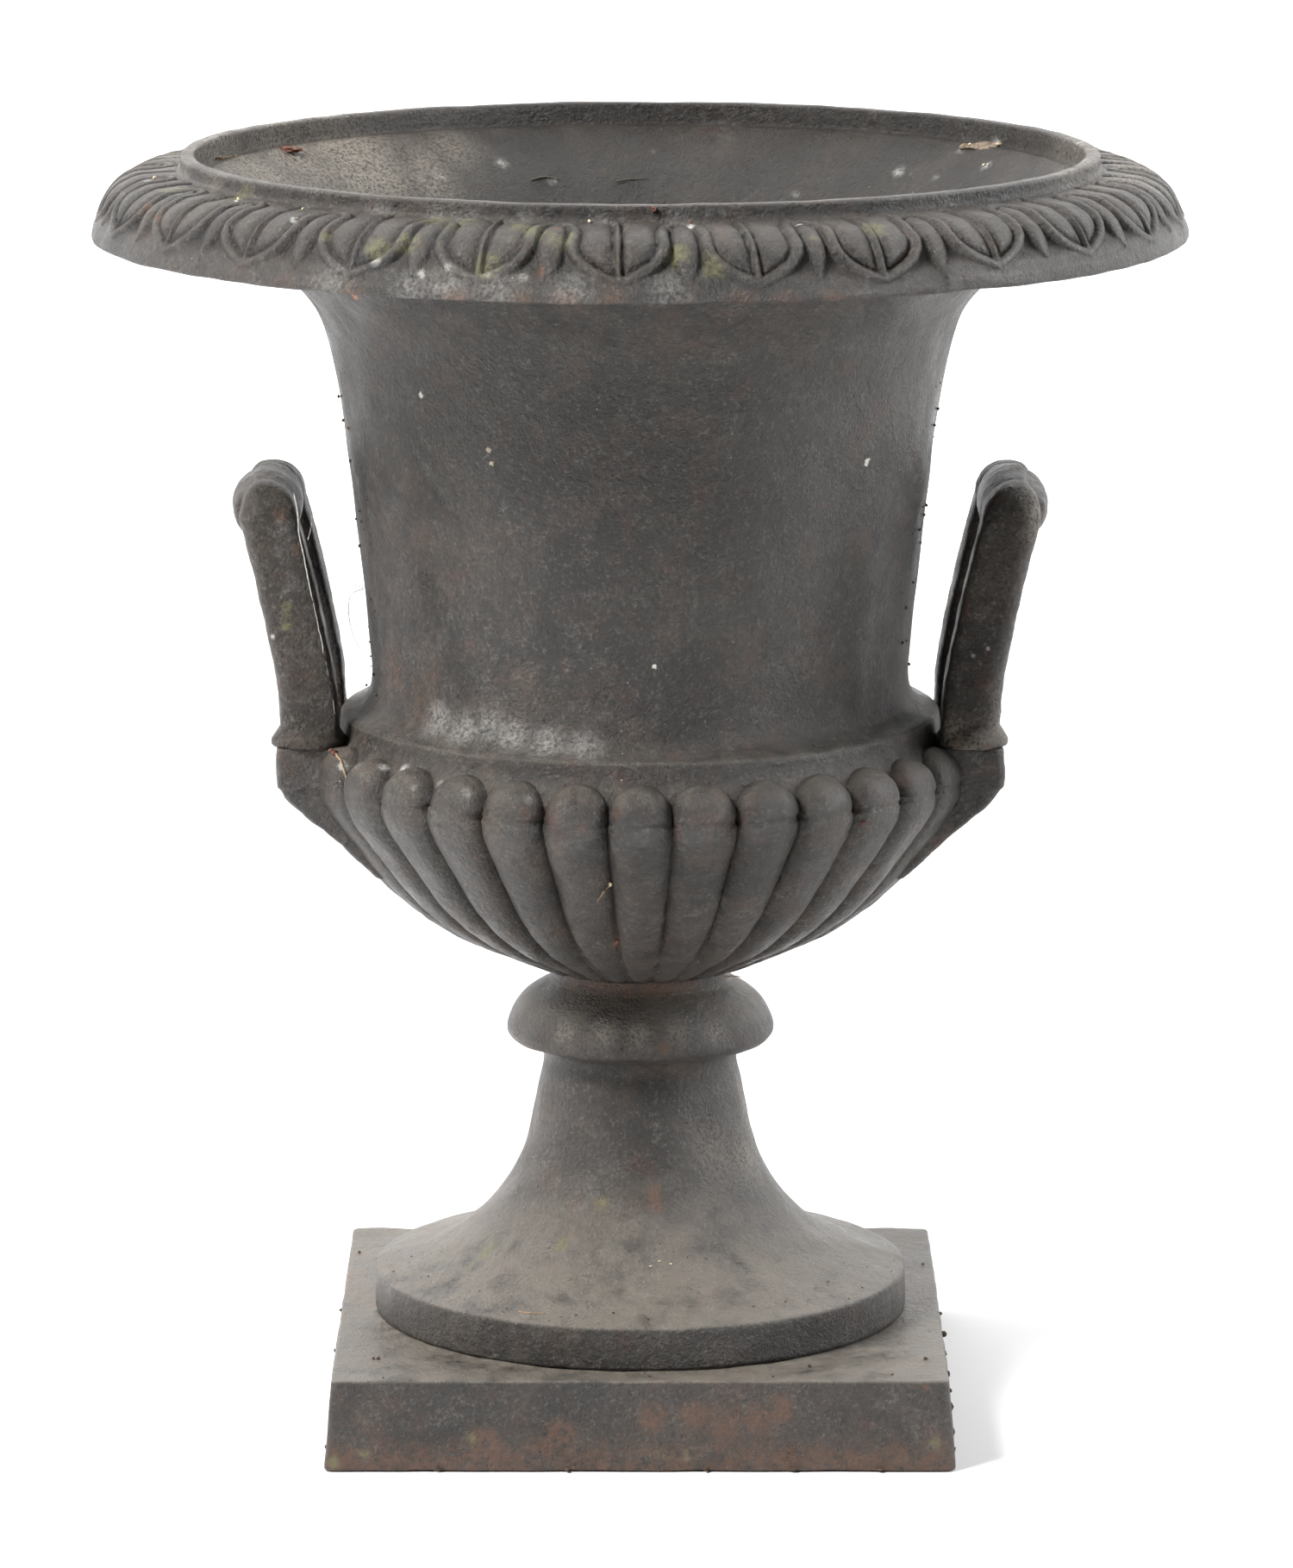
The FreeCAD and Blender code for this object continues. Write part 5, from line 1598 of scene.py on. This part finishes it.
@dataclass(frozen=True)
class Leavings:
    """What the garden has left on the urn: a seed, twigs, hairs and crumbs.

    Attributes:
        twigs: Short twigs and stalks.
        hairs: Dark strands inside the bell, and hairs that stand off it.
        flash: The thin flash that the mould's joint has left on the left handle.
        flakes: Flakes of scale along the plinth's edges.
        red_bits: Red-brown bits of leaf and seed.
        pale_bits: Pale seeds and grains.
        wall: Heights and radii of the bell's wall, on which crumbs stick.
    """

    twigs: tuple[Thread, ...] = (
        Thread("left_collar_stalk", ((-167, -68.4, 377.6), (-163.2, -78.2, 375),
                                     (-161, -85, 369.4), (-158.4, -90.4, 365.2)), 0.75),
        Thread("valley_stalk", ((-17, -160.4, 322.5), (-20.2, -162, 318.8),
                                (-22.6, -162.4, 314.8)), 0.6),
        Thread("neck_stalk", ((45, -17, 238.5), (50, -9, 239.4), (56, -6, 238.2)), 0.6),
        Thread("step_stalk", ((-66.5, -131, 78.9), (-60, -133.6, 79), (-52, -133.4, 78.8)),
               0.5),
        Thread("inner_stalk", ((-237, 60, 689), (-231, 66, 688.6), (-225, 74, 689)), 0.8))
    hairs: tuple[Thread, ...] = (
        Thread("dark_scratch_a", ((-62, 193, 661.4), (-54, 197, 662.6), (-46, 196, 661.2)),
               0.7),
        Thread("dark_scratch_b", ((-14, 199, 659.8), (-6, 201, 660.8), (4, 202, 661.4)), 0.7),
        Thread("left_hair", ((-152.2, -8, 458.5), (-158.5, -8, 456), (-161, -8, 451),
                             (-160.5, -8, 440), (-157, -8, 428), (-151.6, -8, 422)), 0.22, 0.1),
        Thread("left_hair_end", ((-153, -8, 459), (-158, -8, 460), (-160.5, -8, 457)),
               0.2, 0.1))
    flash: tuple[Thread, ...] = (
        Thread("leg_flash", ((-189, -46, 518), (-186.6, -55, 508), (-185.8, -58.4, 497),
                             (-183.4, -58.6, 486), (-180.6, -58.6, 470), (-176, -58.5, 448),
                             (-172.3, -58.3, 428), (-169.2, -58, 412), (-167.2, -57.6, 397)),
               0.42, 0.2, 0.7),
        Thread("branch_flash", ((-181, -57.5, 494), (-179.5, -50, 500), (-178.8, -44, 508)),
               0.3, 0.3, 0.7))
    flakes: Outline = (
        (168.3, -60, 47.2, 1.2, 2.0, 2.0), (169, -110, 38, 0.9, 1.6, 2.2),
        (169.8, -140, 28, 1.2, 1.8, 2.4), (170.6, -155, 18, 0.9, 1.4, 2.0),
        (171, -162, 10, 0.9, 1.2, 1.6), (168.2, -20, 48.2, 0.9, 1.5, 1.2),
        (168.6, -86, 43, 0.8, 1.4, 1.6), (169.6, -126, 33, 0.8, 1.5, 1.5),
        (-168.2, -12, 48, 1.2, 1.4, 1.1), (-171.2, -150, 8, 0.7, 1.3, 1.3),
        (-168.6, -90, 46, 0.7, 1.3, 1.1), (-40, -172, 1.6, 2.4, 0.9, 1.1),
        (36, -172.2, 1.6, 2.8, 0.9, 1.1), (83, -172.4, 1.8, 2.2, 1.0, 1.3),
        (-110, -172.2, 1.4, 2.0, 0.8, 1.0), (130, -172.2, 1.5, 2.6, 0.9, 1.0))
    red_bits: Outline = (
        (-167, -69, 377.8, 2.6, 2.0, 1.8), (-165.2, -70.6, 376.2, 1.8, 1.4, 1.4),
        (-169, -67.6, 379, 1.6, 1.3, 1.2), (7.4, -250.8, 698.4, 2.2, 1.6, 1.8),
        (-198, 125.4, 686.6, 5.0, 3.6, 2.2), (-193, 127.4, 686, 3.4, 2.0, 1.6),
        (-13, -124.4, 285, 2.0, 1.4, 2.4), (26, -256, 692, 1.6, 1.1, 0.9),
        (120.4, -139.6, 352.8, 1.7, 1.2, 1.8), (112, 190, 674, 2.6, 1.4, 1.0))
    pale_bits: Outline = (
        (-16.4, -159.2, 323.6, 1.5, 1.1, 1.7), (-26, -252.4, 692.4, 2.0, 0.9, 0.8),
        (-176, -198, 692.2, 1.3, 0.9, 0.7), (-262, -60, 692.4, 1.6, 1.1, 0.8),
        (-212, -154, 692, 1.5, 1.0, 0.8), (202.4, 133.4, 688.6, 2.2, 1.6, 1.3),
        (193, 114.2, 679.2, 1.2, 1.0, 0.8), (195.4, 112, 679.4, 1.2, 0.9, 0.8),
        (186.6, 144.4, 687.4, 2.2, 1.4, 0.9), (5.9, -98.2, 96, 0.8, 0.8, 0.6),
        (10.6, -94.8, 98, 0.8, 0.8, 0.6), (16.8, -95.2, 96.6, 0.8, 0.8, 0.6))
    wall: Outline = (
        (400, 153), (414, 149), (449, 151.5), (497, 157), (545, 162.4), (592, 170.4))

    def dress(self) -> None:
        """Lays every piece on the urn, each in its finish."""
        heaps = (
            (Litter("dry_twig", (0.16, 0.10, 0.055), (0.30, 0.21, 0.12)), self.twigs),
            (Litter("fine_hair", (0.035, 0.032, 0.025), (0.08, 0.075, 0.05)), self.hairs),
            (Litter("chalky_flash", (0.24, 0.23, 0.21), (0.42, 0.40, 0.37)), self.flash),
            (Litter("dark_scale", (0.030, 0.020, 0.014), (0.075, 0.042, 0.026)), self._scale()),
            (Litter("papery_wing", (0.070, 0.050, 0.034), (0.20, 0.155, 0.105)),
             (WingedSeed(),)),
            (Litter("red_leaf_bit", (0.075, 0.028, 0.018), (0.13, 0.050, 0.028)),
             (Crumbs("red_bits", 71, self.red_bits),)),
            (Litter("pale_seed", (0.42, 0.33, 0.20), (0.60, 0.52, 0.38)),
             (Crumbs("pale_bits", 72, self.pale_bits),)))
        for litter, things in heaps:
            finish = litter.make()
            for thing in things:
                piece = thing.build()
                piece.data.materials.append(finish)
                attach(piece, BODY)
                LOG.info("%s: %d faces", piece.name, len(piece.data.polygons))

    def _scale(self) -> tuple[Crumbs, ...]:
        """Flakes of scale along the plinth's edges and dark crumbs elsewhere."""
        draw = np.random.default_rng(9)
        top = []
        for _ in range(60):
            x, y = draw.uniform(-164, 164, 2)
            if math.hypot(x, y) > 153 and max(abs(x), abs(y)) < 163:
                size = draw.uniform(0.5, 1.4)
                top.append((x, y, 50.0 + 0.3 * size, size, size * 0.8, size * 0.6))
        for _ in range(34):
            turn = math.radians(draw.uniform(180, 360))
            reach = draw.uniform(125, 146)
            size = draw.uniform(0.35, 0.9)
            top.append((reach * math.cos(turn), reach * math.sin(turn),
                        74.6 + (146.8 - reach) * 0.30, size, size * 0.7, size * 0.5))
        bell = []
        heights, radii = np.array(self.wall).T
        for _ in range(46):
            turn = math.radians(draw.choice((-1, 1)) * draw.uniform(70, 100) - 90)
            height = draw.uniform(400, 590)
            reach = float(np.interp(height, heights, radii))
            size = draw.uniform(0.4, 1.1)
            bell.append((reach * math.cos(turn), reach * math.sin(turn), height, *[size] * 3))
        return (Crumbs("edge_scale", 73, self.flakes), Crumbs("top_crumbs", 74, tuple(top)),
                Crumbs("bell_crumbs", 75, tuple(bell)))


# The studio


@dataclass
class Studio:
    """The floor, the lights and the camera.

    Attributes:
        distance: How far the camera stands in front of the urn's axis.
        height: How high it stands.
        aside: How far it stands to the right.
        pitch: How far it looks down, in degrees.
        focal_pixels: Its focal length in pixels of the photograph.
        image_height: The height of the photograph in pixels.
        sensor: The height of its sensor.
        front_sky: How bright the surroundings are behind the camera.
        back_sky: How bright they are behind the urn.
        lamp_size: The side of each of the two square lamps.
        floor_reach: How far the floor reaches to the front and to both sides.
        floor_back: How far it reaches behind the urn.
        floor_level: Its height, a little below the plinth.
    """

    distance: float = 4251.0
    height: float = 1183.0
    aside: float = 3.5
    pitch: float = 11.127
    focal_pixels: float = 9040.0
    image_height: float = 1819.0
    sensor: float = 36.0
    front_sky: float = 0.06
    back_sky: float = 1.9
    lamp_size: float = 1200.0
    floor_reach: float = 9000.0
    floor_back: float = 2600.0
    floor_level: float = -0.3

    def build(self) -> None:
        """Sets up the studio round the urn."""
        self._floor()
        self._sky()
        self._lamp("key_panel", (-2000, -1300, 2700), (0, 0, 400), 262.0)
        self._lamp("right_panel", (2300, 900, 1200), (0, 0, 420), 42.0)
        self._camera()

    def _floor(self) -> None:
        """A wide pale floor."""
        reach, back = self.floor_reach, self.floor_back
        corners = ((-reach, -reach), (reach, -reach), (reach, back), (-reach, back))
        places = np.array([(*corner, self.floor_level) for corner in corners])
        floor = mesh_object("studio_floor", places, [(0, 1, 2, 3)])
        bench = Bench("pale_floor")
        surface = bench.surface.inputs
        bench.feed(surface["Base Color"], bench.blend(
            bench.cloud(Cloud(400.0, 2.0)), (0.90, 0.90, 0.90), (0.93, 0.93, 0.93)))
        surface["Roughness"].default_value = 0.9
        surface["Specular IOR Level"].default_value = 0.1
        floor.data.materials.append(bench.material)

    def _sky(self) -> None:
        """White light all round, brightest behind the urn."""
        world = bpy.data.worlds.new("white_studio")
        world.use_nodes = True
        bpy.context.scene.world = world
        nodes, links = world.node_tree.nodes, world.node_tree.links
        heading = nodes.new("ShaderNodeTexCoord")
        split = nodes.new("ShaderNodeSeparateXYZ")
        ranged = nodes.new("ShaderNodeMapRange")
        ranged.interpolation_type = "SMOOTHSTEP"
        ranged.inputs["From Min"].default_value = -0.30
        ranged.inputs["From Max"].default_value = 0.45
        ranged.inputs["To Min"].default_value = self.front_sky
        ranged.inputs["To Max"].default_value = self.back_sky
        links.new(heading.outputs["Generated"], split.inputs["Vector"])
        links.new(split.outputs["Y"], ranged.inputs["Value"])
        sky = nodes["Background"]
        sky.inputs["Color"].default_value = (1.0, 1.0, 1.0, 1.0)
        links.new(ranged.outputs["Result"], sky.inputs["Strength"])

    def _lamp(self, name: str, place: Place, target: Place, power: float) -> None:
        """Hangs a soft square lamp.

        Args:
            name: Its name.
            place: Where it hangs.
            target: What it points at.
            power: Its power in watts.
        """
        light = bpy.data.lights.new(name, "AREA")
        light.shape = "SQUARE"
        light.size = self.lamp_size * MILLIMETRE
        light.energy = power
        lamp = bpy.data.objects.new(name, light)
        bpy.context.scene.collection.objects.link(lamp)
        lamp.location = Vector(place) * MILLIMETRE
        heading = (Vector(target) - Vector(place)) * MILLIMETRE
        lamp.rotation_euler = heading.to_track_quat("-Z", "Y").to_euler()

    def _camera(self) -> None:
        """The camera, looking a little down at the urn."""
        optics = bpy.data.cameras.new("studio_camera")
        optics.sensor_fit = "VERTICAL"
        optics.sensor_height = self.sensor
        optics.lens = self.focal_pixels / self.image_height * self.sensor
        optics.clip_end = 100
        camera = bpy.data.objects.new("studio_camera", optics)
        bpy.context.scene.collection.objects.link(camera)
        camera.location = Vector((self.aside, -self.distance, self.height)) * MILLIMETRE
        camera.rotation_euler = (math.radians(90 - self.pitch), 0, 0)
        bpy.context.scene.camera = camera
        bpy.context.scene.view_settings.view_transform = "Standard"


def main() -> None:
    """Builds the studio and the urn."""
    logging.basicConfig(level=logging.INFO, format="%(message)s")
    Studio().build()
    # The bell's iron is darker than the rest: partly its own colour, partly painted shade for the
    # rim's shadow on the upper bell.
    bell_iron = WeatheredIron("bell_iron", iron=(0.035, 0.028, 0.022),
                              dark=(0.012, 0.0095, 0.0074), dusty=0.10, spots=Bell.chips).make()
    bowl_iron = WeatheredIron("bowl_iron", dusty=0.22).make()
    handle_iron = WeatheredIron("handle_iron", dusty=0.06, sheen=0.35).make()
    socle_iron = WeatheredIron("socle_iron", dusty=0.5).make()
    plinth_iron = WeatheredIron("plinth_iron", iron=(0.044, 0.034, 0.027),
                                brown=(0.075, 0.045, 0.030), dusty=0.5, rusty=0.55).make()
    bolt_iron = WeatheredIron("rusted_bolts", rusty=0.9).make()
    Bell().dress("bell", "cast_iron_bell", bell_iron)
    Bowl().dress("fluted_bowl", "cast_iron_bowl", bowl_iron)
    for side in Side:
        Handle(side).dress(f"{side.name.lower()}_handle", "cast_iron_handles", handle_iron)
    Socle().dress("socle", "cast_iron_socle", socle_iron)
    Plinth().dress("plinth", "cast_iron_plinth", plinth_iron)
    Leavings().dress()
    replaced = {"bell", "fluted_bowl", "left_handle", "right_handle", "socle", "plinth"}
    for name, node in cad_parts.items():
        if name not in replaced:
            for slot in node.material_slots:
                slot.material = bolt_iron


if __name__ == "__main__":
    main()
